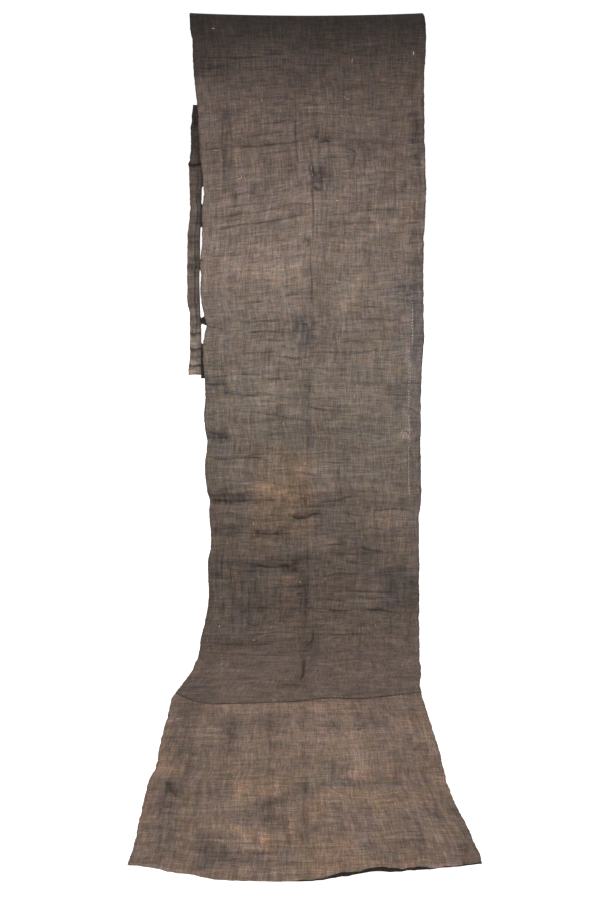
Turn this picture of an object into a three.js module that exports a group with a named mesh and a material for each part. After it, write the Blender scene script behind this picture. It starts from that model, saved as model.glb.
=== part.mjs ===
// A long plain raffia cloth, sewn from panels end to end. It is folded over a straight line, its short
// back fall hangs behind, and its front fall hangs to the floor and sweeps forward along it.
// Millimetres, +Z up, X across the cloth, the front of the cloth towards -Y.
// The origin is at the underside of the top fold, at mid width.
import * as THREE from "three";

// ---------------------------------------------------------------- driving sizes
const CLOTH = 1.5; // thickness of one layer
const GAP = 0.3; // clearance between two layers
const LAP = 14; // how far one panel lies over the next at a seam
const RAMP = 40; // length over which a panel rises onto the lap
const FOLD_R = 16; // inside radius of the top fold
const SAG = 8; // the fold line is lower at mid width than at its ends
const SAG_FADE = 520; // the sag has gone this far down each fall
const FLOOR = -2131.5; // underside of the cloth that lies in front
const SWEEP_R = 280; // radius of the sweep from hanging to lying
const WIDE = 770; // nominal width, for positions across the cloth
const BACK_HEM = -1222; // end of the back fall, as a run
const COLUMNS = 13; // strips across a panel
const STEP_FRONT = 27; // row spacing of the front fall
const STEP_BACK = 32; // row spacing of the back fall

const MID_R = FOLD_R + CLOTH / 2;
const QUARTER = (MID_R * Math.PI) / 2;
const SWEEP_START = QUARTER - FOLD_R - (FLOOR + CLOTH / 2) - SWEEP_R;
const SWEEP_END = SWEEP_START + (SWEEP_R * Math.PI) / 2;

// A run is a length along the cloth from the top of the fold: positive down the front, negative down the back.

// Side edges of the front fall, of its sweep and of the cloth on the floor.
const FRONT_EDGES = [
  { run: 0, left: -394, right: 376 },
  { run: 25, left: -392.3, right: 388.4 },
  { run: 60, left: -391.4, right: 391.8 },
  { run: 108, left: -384.3, right: 393.2 },
  { run: 165, left: -383.9, right: 393.4 },
  { run: 222, left: -379.8, right: 392 },
  { run: 290, left: -372.7, right: 393.5 },
  { run: 435, left: -368.7, right: 400.3 },
  { run: 480, left: -365, right: 403.5 },
  { run: 583, left: -356.7, right: 407.3 },
  { run: 648, left: -363.9, right: 406.9 },
  { run: 733, left: -366.3, right: 403.1 },
  { run: 829, left: -374.8, right: 403.8 },
  { run: 860, left: -372.8, right: 403.7 },
  { run: 902, left: -374.8, right: 403.7 },
  { run: 942, left: -372.8, right: 406.6 },
  { run: 984, left: -366.2, right: 409 },
  { run: 1033, left: -355.7, right: 410 },
  { run: 1066, left: -363.3, right: 413.9 },
  { run: 1107, left: -369.7, right: 412.7 },
  { run: 1213, left: -366.5, right: 406.9 },
  { run: 1290, left: -364.3, right: 406.7 },
  { run: 1364, left: -370.9, right: 407.7 },
  { run: 1414, left: -366.4, right: 410.3 },
  { run: 1451, left: -360.7, right: 409 },
  { run: 1540, left: -371.3, right: 413.2 },
  { run: 1599, left: -368.9, right: 414.6 },
  { run: 1640, left: -362.9, right: 416.3 },
  { run: 1674, left: -356.7, right: 415.4 },
  { run: 1715, left: -359.5, right: 409.9 },
  { run: 1760, left: -356.1, right: 408.8 },
  { run: 1825, left: -353.9, right: 412.4 },
  { run: 1900, left: -364.7, right: 414.9 },
  { run: 1980, left: -362.6, right: 412.8 },
  { run: 2050, left: -360.6, right: 409.8 },
  { run: 2182, left: -375.5, right: 397.2 },
  { run: 2260, left: -374.7, right: 388.7 },
  { run: 2337, left: -373.9, right: 379.2 },
  { run: 2434, left: -381, right: 371.7 },
  { run: 2524, left: -398.3, right: 356.1 },
  { run: 2610, left: -416.4, right: 351.1 },
  { run: 2664, left: -418.9, right: 350.1 },
  { run: 2728, left: -415, right: 350.9 },
  { run: 2838, left: -413.1, right: 351.9 },
  { run: 2930, left: -411.2, right: 353.2 },
  { run: 3035, left: -404.2, right: 348.9 },
  { run: 3095, left: -412.2, right: 347.2 },
  { run: 3155, left: -409.8, right: 349.8 },
  { run: 3249, left: -406.4, right: 358.5 },
  { run: 3320, left: -402.8, right: 366.3 },
  { run: 3388, left: -400, right: 372 },
  { run: 3500, left: -402.3, right: 370.2 },
];

// Side edges of the back fall, by distance below the fold.
const BACK_EDGES = [
  { run: 0, left: -393, right: 376 },
  { run: 25, left: -391, right: 388 },
  { run: 140, left: -380, right: 391 },
  { run: 270, left: -349, right: 390 },
  { run: 370, left: -357, right: 392 },
  { run: 475, left: -362, right: 394 },
  { run: 575, left: -365.5, right: 393.5 },
  { run: 640, left: -369.5, right: 393 },
  { run: 740, left: -374.6, right: 390 },
  { run: 800, left: -376, right: 391 },
  { run: 870, left: -379.8, right: 393 },
  { run: 950, left: -379, right: 394.5 },
  { run: 1000, left: -378, right: 395.5 },
  { run: 1060, left: -376, right: 396 },
  { run: 1222, left: -383, right: 392 },
];

// Stretches where the band's seam has come undone, and how far the back fall's edge has drawn in there.
const OPEN_SEAM = [
  { from: 556, to: 617, inset: 22 },
  { from: 691, to: 808, inset: 27 },
  { from: 838, to: 1008, inset: 30 },
  { from: 1027, to: 1098, inset: 26 },
];

// Outer edge of the side band, and how far its long crease and its outer edge stand behind the back fall.
const BAND = [
  { run: 288, left: -391, crease: 2.0, outer: -1.5 },
  { run: 370, left: -400, crease: 4.0, outer: -2.5 },
  { run: 432, left: -401, crease: 4.5, outer: -1.0 },
  { run: 482, left: -408, crease: 4.8, outer: 0.5 },
  { run: 535, left: -408.5, crease: 5.0, outer: 1.5 },
  { run: 640, left: -408.5, crease: 3.5, outer: 3.0 },
  { run: 715, left: -418, crease: 5.5, outer: 1.0 },
  { run: 815, left: -422, crease: 6.5, outer: -2.0 },
  { run: 900, left: -423, crease: 6.0, outer: -3.0 },
  { run: 950, left: -426, crease: 5.0, outer: -1.5 },
  { run: 990, left: -417.5, crease: 4.0, outer: 0.0 },
  { run: 1045, left: -418, crease: 5.0, outer: 2.0 },
  { run: 1150, left: -421, crease: 4.0, outer: -1.0 },
  { run: 1210, left: -427.5, crease: 2.5, outer: -2.5 },
];
const BAND_GAP = 0.6; // clearance along the band's seam
const BAND_CREASE_AT = 0.52; // the long crease, as a share of the band's width from its seam

// Seams across the cloth and the hems: the run of each one at even spaces from the left edge to the right.
const CROSS_LINES = {
  back_seam: [-284, -282, -280, -282, -285],
  upper_seam: [438, 420, 402, 409, 414],
  middle_seam: [1241, 1224, 1228, 1236, 1238],
  lower_seam: [2062, 2064, 2068, 2076, 2084],
  floor_seam: [2597, 2666, 2669, 2664, 2656, 2633, 2638, 2616, 2591],
  back_hem: [BACK_HEM, -1214, -1210, -1212, -1216],
  front_hem: [
    3435, 3440, 3447, 3460, 3465, 3474, 3483, 3487, 3489, 3489, 3491, 3490, 3489, 3487, 3478, 3472, 3461, 3458,
    3459, 3454, 3452, 3446, 3443, 3436, 3431,
  ],
};

// Panels in order from the back hem to the front hem; step is the row spacing.
const PANELS = [
  {
    name: "panel_back",
    from: "back_hem",
    to: "back_seam",
    over: false,
    step: STEP_BACK,
    colour: 0x4d443c,
  },
  {
    name: "panel_top",
    from: "back_seam",
    to: "upper_seam",
    over: true,
    step: STEP_FRONT,
    colour: 0x5e544b,
  },
  {
    name: "panel_upper",
    from: "upper_seam",
    to: "middle_seam",
    over: true,
    step: STEP_FRONT,
    colour: 0x6a5f55,
  },
  {
    name: "panel_middle",
    from: "middle_seam",
    to: "lower_seam",
    over: true,
    step: STEP_FRONT,
    colour: 0x675b50,
  },
  {
    name: "panel_sweep",
    from: "lower_seam",
    to: "floor_seam",
    over: true,
    step: STEP_FRONT,
    colour: 0x5f5349,
  },
  {
    name: "panel_end",
    from: "floor_seam",
    to: "front_hem",
    over: false,
    step: 52,
    colour: 0x74624f,
  },
];

// Main creases: soft troughs (rise below 0) and ridges along straight lines on the cloth.
// across_a, run_a to across_b, run_b is the line, across measured from mid width.
const CREASES = [
  { across_a: -385, run_a: 440, across_b: 5, run_b: 400, half: 34, rise: -4 },
  { across_a: 5, run_a: 400, across_b: 385, run_b: 414, half: 34, rise: -4 },
  { across_a: -380, run_a: 690, across_b: -10, run_b: 620, half: 40, rise: -5 },
  { across_a: 60, run_a: 640, across_b: 300, run_b: 626, half: 36, rise: -3 },
  { across_a: -385, run_a: 1012, across_b: -150, run_b: 1014, half: 34, rise: -6 },
  { across_a: 80, run_a: 1002, across_b: 300, run_b: 1004, half: 36, rise: -4 },
  { across_a: -385, run_a: 1240, across_b: -80, run_b: 1214, half: 38, rise: -6 },
  { across_a: -70, run_a: 1320, across_b: 140, run_b: 1326, half: 36, rise: -4 },
  { across_a: -385, run_a: 1500, across_b: -180, run_b: 1482, half: 36, rise: -5 },
  { across_a: -390, run_a: 1655, across_b: -200, run_b: 1662, half: 36, rise: -8 },
  { across_a: -130, run_a: 1728, across_b: 50, run_b: 1702, half: 34, rise: -6 },
  { across_a: 0, run_a: 1662, across_b: 160, run_b: 1652, half: 34, rise: -5 },
  { across_a: 150, run_a: 1846, across_b: 300, run_b: 1852, half: 36, rise: -4 },
  { across_a: -250, run_a: 1909, across_b: -40, run_b: 1906, half: 38, rise: -6 },
  { across_a: -210, run_a: 2062, across_b: 340, run_b: 2084, half: 40, rise: -6 },
  { across_a: 40, run_a: 2180, across_b: 250, run_b: 2160, half: 38, rise: -4 },
  { across_a: 22, run_a: 240, across_b: 10, run_b: 2240, half: 52, rise: -4 },
  { across_a: -10, run_a: 2250, across_b: -10, run_b: 2600, half: 60, rise: 5 },
  { across_a: -330, run_a: 2380, across_b: -150, run_b: 2400, half: 60, rise: 6 },
  { across_a: 120, run_a: 2330, across_b: 330, run_b: 2300, half: 60, rise: 7 },
  { across_a: -170, run_a: 3290, across_b: 70, run_b: 3100, half: 56, rise: 7 },
  { across_a: -320, run_a: 3130, across_b: -300, run_b: 3440, half: 44, rise: 5 },
  { across_a: 240, run_a: 2760, across_b: 250, run_b: 3400, half: 52, rise: 6 },
  { across_a: -60, run_a: 2760, across_b: -70, run_b: 3060, half: 50, rise: 5 },
];

// Where the front hem stands off the floor, how far back the lift fades out, and the turned-down end.
const HEM_LIFT = [
  { across: -385, lift: 0.3 },
  { across: -180, lift: 0 },
  { across: -80, lift: 0.3 },
  { across: -5, lift: 1.2 },
  { across: 12, lift: 0.9 },
  { across: 29, lift: 1.2 },
  { across: 46, lift: 1.8 },
  { across: 63, lift: 3.4 },
  { across: 80, lift: 5.2 },
  { across: 97, lift: 4.2 },
  { across: 115, lift: 2.4 },
  { across: 132, lift: 3.6 },
  { across: 149, lift: 4.6 },
  { across: 167, lift: 5.8 },
  { across: 184, lift: 4.4 },
  { across: 201, lift: 3 },
  { across: 218, lift: 2 },
  { across: 253, lift: 1.8 },
  { across: 289, lift: 0.8 },
  { across: 324, lift: 0.8 },
  { across: 385, lift: 0.3 },
];
const HEM_TURN = 9;
const HEM_LIFT_BACK = 170;

// Slow waves of the hanging cloth.
const SLOW_WAVES = [
  { length: 930, shift: 0.9, lean: 0.6, height: 4.0 },
  { length: 410, shift: 2.3, lean: -1.1, height: 2.2 },
];
const EDGE_CURL = 5; // the side edges of the front fall turn back this much

// ---------------------------------------------------------------- functions
const clamp = (v, a, b) => Math.min(b, Math.max(a, v));
const smooth = (a, b, v) => {
  const t = clamp((v - a) / (b - a), 0, 1);
  return t * t * (3 - 2 * t);
};

// A smooth curve through one column of a table.
function through(rows, key, column, at) {
  let i = rows.findIndex((r) => r[key] >= at);
  if (i < 0) i = rows.length - 1;
  i = clamp(i, 1, rows.length - 1);
  const p0 = rows[Math.max(0, i - 2)],
    p1 = rows[i - 1],
    p2 = rows[i],
    p3 = rows[Math.min(rows.length - 1, i + 1)];
  const h = p2[key] - p1[key],
    t = clamp((at - p1[key]) / h, 0, 1);
  const m1 = p2 === p0 ? 0 : ((p2[column] - p0[column]) / (p2[key] - p0[key])) * h;
  const m2 = p3 === p1 ? 0 : ((p3[column] - p1[column]) / (p3[key] - p1[key])) * h;
  const a = t * t * t,
    b = t * t;
  return (
    (2 * a - 3 * b + 1) * p1[column] +
    (a - 2 * b + t) * m1 +
    (3 * b - 2 * a) * p2[column] +
    (a - b) * m2
  );
}

// The run of a seam or hem at u, 0 at the left edge and 1 at the right.
function crossLine(name, u) {
  const runs = CROSS_LINES[name];
  return through(
    runs.map((run, i) => ({ u: i / (runs.length - 1), run })),
    "u",
    "run",
    u,
  );
}

// The back fall's left edge, drawn in where the band has come away.
function backLeft(run) {
  let left = through(BACK_EDGES, "run", "left", run);
  for (const o of OPEN_SEAM)
    if (run > o.from && run < o.to)
      left += o.inset * Math.sin((Math.PI * (run - o.from)) / (o.to - o.from));
  return left;
}

function edges(run) {
  return run >= 0
    ? [through(FRONT_EDGES, "run", "left", run), through(FRONT_EDGES, "run", "right", run)]
    : [backLeft(-run), through(BACK_EDGES, "run", "right", -run)];
}

// The line that the middle of the cloth follows, seen from the side, and its outward direction.
function profile(run) {
  if (run < -QUARTER) return { y: MID_R, z: -FOLD_R + run + QUARTER, ny: 1, nz: 0 };
  if (run < QUARTER) {
    const a = run / MID_R;
    return {
      y: -MID_R * Math.sin(a),
      z: -FOLD_R + MID_R * Math.cos(a),
      ny: -Math.sin(a),
      nz: Math.cos(a),
    };
  }
  if (run < SWEEP_START) return { y: -MID_R, z: -FOLD_R - (run - QUARTER), ny: -1, nz: 0 };
  const floor = FLOOR + CLOTH / 2;
  if (run < SWEEP_END) {
    const a = (run - SWEEP_START) / SWEEP_R;
    return {
      y: -MID_R - SWEEP_R * (1 - Math.cos(a)),
      z: floor + SWEEP_R * (1 - Math.sin(a)),
      ny: -Math.cos(a),
      nz: Math.sin(a),
    };
  }
  return { y: -MID_R - SWEEP_R - (run - SWEEP_END), z: floor, ny: 0, nz: 1 };
}

// Height of one crease at a point of the cloth.
function crease(c, across, run) {
  const dx = c.across_b - c.across_a,
    dr = c.run_b - c.run_a,
    len = Math.hypot(dx, dr);
  const along = ((across - c.across_a) * dx + (run - c.run_a) * dr) / len;
  const off = ((across - c.across_a) * dr - (run - c.run_a) * dx) / len;
  const past = Math.max(0, -along, along - len) / (1.4 * c.half);
  return c.rise * Math.exp(-((off / c.half) ** 2) - past * past);
}

// How far the cloth stands out from its profile.
function relief(across, run) {
  const u = across / WIDE + 0.5;
  if (run < 0) {
    const inward = smooth(0.0, 0.16, u),
      fade = smooth(60, 220, -run);
    return (
      inward *
      fade *
      (3.2 * Math.sin(-run / 118 + 2.2 * u) * Math.sin(3.4 * u + 0.4) + 2.4 * Math.sin(7 * u - run / 260))
    );
  }
  const hanging = 1 - smooth(SWEEP_START, SWEEP_END, run);
  let d = 0;
  for (const c of CREASES) d += crease(c, across, run);
  let slow = 0;
  for (const w of SLOW_WAVES)
    slow += w.height * Math.sin((2 * Math.PI * run) / w.length + w.shift + w.lean * (u - 0.5) * Math.PI);
  d += hanging * (slow - EDGE_CURL * Math.abs(2 * u - 1) ** 5);
  d *= smooth(45, 200, run);
  // On the floor the cloth only stands up, never down.
  const up = 1 - hanging;
  const low = 0.5 * (d + Math.sqrt(d * d + 4)) - 1 + 0.0;
  d = d * (1 - up) + Math.max(0, low) * up;
  const hem = crossLine("front_hem", u);
  if (run > hem - HEM_LIFT_BACK)
    d +=
      through(HEM_LIFT, "across", "lift", clamp(across, -385, 385)) *
      smooth(hem - HEM_LIFT_BACK, hem - HEM_TURN - 20, run) *
      (1 - smooth(hem - HEM_TURN, hem, run));
  return d;
}

// A point on the middle of the cloth and its outward direction.
function clothPoint(u, run, lift) {
  const [left, right] = edges(run);
  const x = left + (right - left) * u;
  const p = profile(run);
  const across = (u - 0.5) * WIDE;
  // Flat at the floor seam, so that the two layers there stay parallel.
  const seam = crossLine("floor_seam", u);
  const flat = smooth(LAP + 6, LAP + 60, Math.abs(run - seam + LAP / 2));
  const d = relief(across, run) * flat + lift;
  const sag = SAG * (x / 390) ** 2 * (1 - smooth(0, SAG_FADE, Math.abs(run)));
  return { x, y: p.y + p.ny * d, z: p.z + p.nz * d + sag, ny: p.ny, nz: p.nz };
}

// A closed thin solid between two offsets of a grid of points.
function sheet(name, grid, thick, colour) {
  const rows = grid.length,
    cols = grid[0].length,
    half = thick / 2,
    n = rows * cols;
  const pos = new Float32Array(n * 6);
  grid.forEach((row, i) =>
    row.forEach((p, j) => {
      const k = 3 * (i * cols + j);
      pos.set([p.x, p.y + half * p.ny, p.z + half * p.nz], k);
      pos.set([p.x, p.y - half * p.ny, p.z - half * p.nz], k + 3 * n);
    }),
  );
  const index = [];
  const quad = (a, b, c, d) => index.push(a, b, c, a, c, d);
  const at = (i, j) => i * cols + j;
  for (let i = 0; i < rows - 1; i++)
    for (let j = 0; j < cols - 1; j++) {
      quad(at(i, j), at(i + 1, j), at(i + 1, j + 1), at(i, j + 1));
      quad(n + at(i, j), n + at(i, j + 1), n + at(i + 1, j + 1), n + at(i + 1, j));
    }
  for (let i = 0; i < rows - 1; i++) {
    quad(at(i, 0), n + at(i, 0), n + at(i + 1, 0), at(i + 1, 0));
    quad(at(i, cols - 1), at(i + 1, cols - 1), n + at(i + 1, cols - 1), n + at(i, cols - 1));
  }
  for (let j = 0; j < cols - 1; j++) {
    quad(at(0, j), at(0, j + 1), n + at(0, j + 1), n + at(0, j));
    quad(at(rows - 1, j), n + at(rows - 1, j), n + at(rows - 1, j + 1), at(rows - 1, j + 1));
  }
  const g = new THREE.BufferGeometry();
  g.setAttribute("position", new THREE.BufferAttribute(pos, 3));
  g.setIndex(index);
  g.computeVertexNormals();
  const mesh = new THREE.Mesh(
    g,
    new THREE.MeshStandardMaterial({ color: colour, roughness: 0.95, metalness: 0 }),
  );
  mesh.name = name;
  return mesh;
}

// Row stations of a panel: a share of the way from its first line to its last, plus a length.
function stations(panel) {
  const a = crossLine(panel.from, 0.5),
    b = crossLine(panel.to, 0.5);
  const list = [];
  const under = panel.name !== "panel_back" && panel.from !== "back_seam"; // starts under the panel before it
  if (under) list.push({ share: 0, plus: -LAP });
  if (panel.name === "panel_back") list.push({ share: 0, plus: 0 });
  if (panel.from === "back_seam") {
    list.push({ share: 0, plus: 0 }, { share: 0, plus: LAP }, { share: 0, plus: LAP + RAMP });
  } else if (under) list.push({ share: 0, plus: 0 });
  // The top fold has its own close rows.
  const inner = [];
  const begin = a + (panel.from === "back_seam" ? LAP + RAMP : 0),
    end = b - (panel.over ? LAP + RAMP : panel.to === "front_hem" ? HEM_TURN + 1 : 0);
  if (panel.name === "panel_top") {
    const turn = 8;
    for (let r = -QUARTER; begin + 12 < r; r -= 44) inner.unshift(r);
    for (let i = 1; i <= turn; i++) inner.push(-QUARTER + (2 * QUARTER * i) / turn);
    for (let r = QUARTER + panel.step; r < end - 10; r += panel.step) inner.push(r);
  } else {
    const count = Math.round((end - begin) / panel.step);
    for (let i = 1; i < count; i++) inner.push(begin + ((end - begin) * i) / count);
  }
  for (const r of inner)
    list.push(
      panel.name === "panel_top" ? { fixed: r } : { share: (r - a) / (b - a), plus: 0 },
    );
  if (panel.name === "panel_back") list.push({ share: 1, plus: 0 }, { share: 1, plus: LAP });
  else if (panel.over)
    list.push({ share: 1, plus: -LAP - RAMP }, { share: 1, plus: -LAP }, { share: 1, plus: 0 });
  else
    list.push(
      { share: 1, plus: -HEM_TURN - 1 },
      { share: 1, plus: -HEM_TURN / 2 },
      { share: 1, plus: 0 },
    );
  return list;
}

// A panel that lies over its neighbour at a seam is lifted there by one layer and the clearance.
function liftAt(panel, u, run) {
  let lift = 0;
  if (panel.over) {
    const b = crossLine(panel.to, u);
    lift += (CLOTH + GAP) * smooth(b - LAP - RAMP, b - LAP, run);
  }
  if (panel.from === "back_seam") {
    const a = crossLine(panel.from, u);
    lift += (CLOTH + GAP) * (1 - smooth(a + LAP, a + LAP + RAMP, run));
  }
  return lift;
}

function panelMesh(panel) {
  const grid = stations(panel).map((s) =>
    Array.from({ length: COLUMNS + 1 }, (_, j) => {
      const u = j / COLUMNS;
      const a = crossLine(panel.from, u),
        b = crossLine(panel.to, u);
      const run = s.fixed !== undefined ? s.fixed : a + (b - a) * s.share + s.plus;
      return clothPoint(u, run, liftAt(panel, u, run));
    }),
  );
  return sheet(panel.name, grid, CLOTH, panel.colour);
}

// The side band: a narrow strip along the back fall's left edge, with one long soft crease.
function bandMesh() {
  const first = BAND[0].run,
    last = BAND[BAND.length - 1].run;
  // The band's rows match those of the panel it is sewn to.
  const back = PANELS.find((p) => p.name === "panel_back");
  const a = crossLine(back.from, 0),
    b = crossLine(back.to, 0);
  const between = stations(back)
    .map((s) => -(a + (b - a) * s.share + s.plus))
    .filter((run) => run > first + 8 && run < last - 8);
  const grid = [];
  for (const run of [last, ...between, first]) {
    const seamX = through(BACK_EDGES, "run", "left", run) - BAND_GAP;
    const left = through(BAND, "run", "left", run);
    const behind = [through(BAND, "run", "outer", run), through(BAND, "run", "crease", run), 0];
    const share = [1, BAND_CREASE_AT, 0];
    grid.push(
      share.map((s, j) => ({
        x: seamX + (left - seamX) * s,
        y: MID_R + behind[j],
        z: profile(-run).z,
        ny: 1,
        nz: 0,
      })),
    );
  }
  return sheet("side_band", grid, CLOTH, 0x463d36);
}

const cloth = new THREE.Group();
cloth.name = "raffia_cloth";
for (const panel of PANELS) cloth.add(panelMesh(panel));
cloth.add(bandMesh());

export default cloth;
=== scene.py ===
# A long plain raffia cloth, sewn from panels end to end. It is folded over a straight line, its short back
# fall hangs behind with a narrow side band, and its front fall hangs to the floor and sweeps forward along it.
# Sizes are in millimetres until the meshes are made. A run is a length along the cloth from the top of the fold:
# positive down the front, negative down the back. Across is measured from mid width, positive to the right.
import math

import bpy
import numpy as np
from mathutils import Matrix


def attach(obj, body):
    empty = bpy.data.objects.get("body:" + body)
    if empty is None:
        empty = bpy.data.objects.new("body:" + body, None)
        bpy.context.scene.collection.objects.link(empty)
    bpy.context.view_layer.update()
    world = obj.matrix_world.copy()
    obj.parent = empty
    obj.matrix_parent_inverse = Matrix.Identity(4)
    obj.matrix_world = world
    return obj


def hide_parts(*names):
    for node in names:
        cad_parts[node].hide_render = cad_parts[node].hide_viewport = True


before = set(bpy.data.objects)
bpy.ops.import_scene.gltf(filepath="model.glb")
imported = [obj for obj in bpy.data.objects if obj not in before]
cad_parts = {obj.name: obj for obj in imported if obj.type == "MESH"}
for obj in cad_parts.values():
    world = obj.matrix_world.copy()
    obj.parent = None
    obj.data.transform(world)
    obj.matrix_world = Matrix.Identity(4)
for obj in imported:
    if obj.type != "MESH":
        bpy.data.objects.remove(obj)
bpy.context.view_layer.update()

# ---------------------------------------------------------------- driving sizes
CLOTH = 1.5
GAP = 0.3
LAP = 14.0
RAMP = 40.0
FOLD_R = 16.0
SAG = 8.0
SAG_FADE = 520.0
FLOOR = -2131.5
SWEEP_R = 280.0
WIDE = 770.0
SHEET = 1.15  # one layer as seen
LAP_LIFT = 1.35  # how far a panel rises where it lies over the next
CELL_ACROSS = 3.4  # mesh spacing of the front fall
CELL_RUN = 3.3
CELL_BACK = 7.4

MID_R = FOLD_R + CLOTH / 2
QUARTER = MID_R * math.pi / 2
SWEEP_START = QUARTER - FOLD_R - (FLOOR + CLOTH / 2) - SWEEP_R
SWEEP_END = SWEEP_START + SWEEP_R * math.pi / 2

# Side edges of the front fall: run, left, right.
FRONT_EDGES = np.array(
    [
        (0, -394, 376),
        (25, -392.3, 388.4),
        (60, -391.4, 391.8),
        (108, -384.3, 393.2),
        (165, -383.9, 393.4),
        (222, -379.8, 392),
        (290, -372.7, 393.5),
        (435, -368.7, 400.3),
        (480, -365, 403.5),
        (583, -356.7, 407.3),
        (648, -363.9, 406.9),
        (733, -366.3, 403.1),
        (829, -374.8, 403.8),
        (860, -372.8, 403.7),
        (902, -374.8, 403.7),
        (942, -372.8, 406.6),
        (984, -366.2, 409),
        (1033, -355.7, 410),
        (1066, -363.3, 413.9),
        (1107, -369.7, 412.7),
        (1213, -366.5, 406.9),
        (1290, -364.3, 406.7),
        (1364, -370.9, 407.7),
        (1414, -366.4, 410.3),
        (1451, -360.7, 409),
        (1540, -371.3, 413.2),
        (1599, -368.9, 414.6),
        (1640, -362.9, 416.3),
        (1674, -356.7, 415.4),
        (1715, -359.5, 409.9),
        (1760, -356.1, 408.8),
        (1825, -353.9, 412.4),
        (1900, -364.7, 414.9),
        (1980, -362.6, 412.8),
        (2050, -360.6, 409.8),
        (2182, -375.5, 397.2),
        (2260, -374.7, 388.7),
        (2337, -373.9, 379.2),
        (2434, -381, 371.7),
        (2524, -398.3, 356.1),
        (2610, -416.4, 351.1),
        (2664, -418.9, 350.1),
        (2728, -415, 350.9),
        (2838, -413.1, 351.9),
        (2930, -411.2, 353.2),
        (3035, -404.2, 348.9),
        (3095, -412.2, 347.2),
        (3155, -409.8, 349.8),
        (3249, -406.4, 358.5),
        (3320, -402.8, 366.3),
        (3388, -400, 372),
        (3500, -402.3, 370.2),
    ],
    float,
)

# Side edges of the back fall, by distance below the fold: run, left, right.
BACK_EDGES = np.array(
    [
        (0, -393, 376),
        (25, -391, 388),
        (140, -380, 391),
        (270, -349, 390),
        (370, -357, 392),
        (475, -362, 394),
        (575, -365.5, 393.5),
        (640, -369.5, 393),
        (740, -374.6, 390),
        (800, -376, 391),
        (870, -379.8, 393),
        (950, -379, 394.5),
        (1000, -378, 395.5),
        (1060, -376, 396),
        (1222, -383, 392),
    ],
    float,
)

# Stretches where the band's seam has come undone: from, to, how far the back fall's edge has drawn in.
OPEN_SEAM = [(556, 617, 22), (691, 808, 27), (838, 1008, 30), (1027, 1098, 26)]

# Side band: run, outer edge, how far the long crease and the outer edge stand behind the back fall.
BAND = np.array(
    [
        (288, -391, 2.0, -1.5),
        (370, -400, 4.0, -2.5),
        (432, -401, 4.5, -1.0),
        (482, -408, 4.8, 0.5),
        (535, -408.5, 5.0, 1.5),
        (640, -408.5, 3.5, 3.0),
        (715, -418, 5.5, 1.0),
        (815, -422, 6.5, -2.0),
        (900, -423, 6.0, -3.0),
        (950, -426, 5.0, -1.5),
        (990, -417.5, 4.0, 0.0),
        (1045, -418, 5.0, 2.0),
        (1150, -421, 4.0, -1.0),
        (1210, -427.5, 2.5, -2.5),
    ],
    float,
)
BAND_GAP = 0.6
BAND_CREASE_AT = 0.52

# Seams and hems across the cloth: runs at even spaces from the left edge to the right.
CROSS_LINES = {
    "back_seam": (-284, -282, -280, -282, -285),
    "upper_seam": (438, 420, 402, 409, 414),
    "middle_seam": (1241, 1224, 1228, 1236, 1238),
    "lower_seam": (2062, 2064, 2068, 2076, 2084),
    "floor_seam": (2597, 2666, 2669, 2664, 2656, 2633, 2638, 2616, 2591),
    "back_hem": (-1222, -1214, -1210, -1212, -1216),
    "front_hem": (
        3435, 3440, 3447, 3460, 3465, 3474, 3483, 3487, 3489, 3489, 3491, 3490, 3489, 3487, 3478, 3472, 3461, 3458,
        3459, 3454, 3452, 3446, 3443, 3436, 3431,
    ),
}

# Panels from the back hem to the front hem. over: which ends lie over the neighbour.
PANELS = [
    dict(name="panel_back", start="back_hem", end="back_seam", before=0, after=LAP, over=(), slot="raffia_back", flat=(0.765, 0.95), held="hung"),
    dict(name="panel_top", start="back_seam", end="upper_seam", before=0, after=0, over=("start", "end"), slot="raffia_top", flat=(0.775, 0.69), held="draped"),
    dict(name="panel_upper", start="upper_seam", end="middle_seam", before=LAP, after=0, over=("end",), slot="raffia_front", flat=(0.77, 0.835), held="hung"),
    dict(name="panel_middle", start="middle_seam", end="lower_seam", before=LAP, after=0, over=("end",), slot="raffia_front", flat=(0.77, 0.855), held="hung"),
    dict(name="panel_sweep", start="lower_seam", end="floor_seam", before=LAP, after=0, over=("end",), slot="raffia_front", flat=(0.765, 0.585), held="hung"),
    dict(name="panel_end", start="floor_seam", end="front_hem", before=LAP, after=0, over=(), slot="raffia_end", flat=(0.77, 0.845), held="laid"),
]
for number, panel in enumerate(PANELS):
    panel["number"] = number

# Main folds: across and run of both ends, half width, rise (below 0 a trough).
FOLDS = [
    (-385, 440, 5, 400, 34, -4),
    (5, 400, 385, 414, 34, -4),
    (-380, 690, -10, 620, 40, -5),
    (60, 640, 300, 626, 36, -3),
    (-385, 1012, -150, 1014, 34, -6),
    (80, 1002, 300, 1004, 36, -4),
    (-385, 1240, -80, 1214, 38, -6),
    (-70, 1320, 140, 1326, 36, -4),
    (-385, 1500, -180, 1482, 36, -5),
    (-390, 1655, -200, 1662, 36, -8),
    (-130, 1728, 50, 1702, 34, -6),
    (0, 1662, 160, 1652, 34, -5),
    (150, 1846, 300, 1852, 36, -4),
    (-250, 1909, -40, 1906, 38, -6),
    (-210, 2062, 340, 2084, 40, -6),
    (40, 2180, 250, 2160, 38, -4),
    (22, 240, 10, 2240, 52, -4),
    (-10, 2250, -10, 2600, 60, 5),
    (-330, 2380, -150, 2400, 60, 6),
    (120, 2330, 330, 2300, 60, 7),
    (-170, 3290, 70, 3100, 56, 7),
    (-320, 3130, -300, 3440, 44, 5),
    (240, 2760, 250, 3400, 52, 6),
    (-60, 2760, -70, 3060, 50, 5),
]
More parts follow.
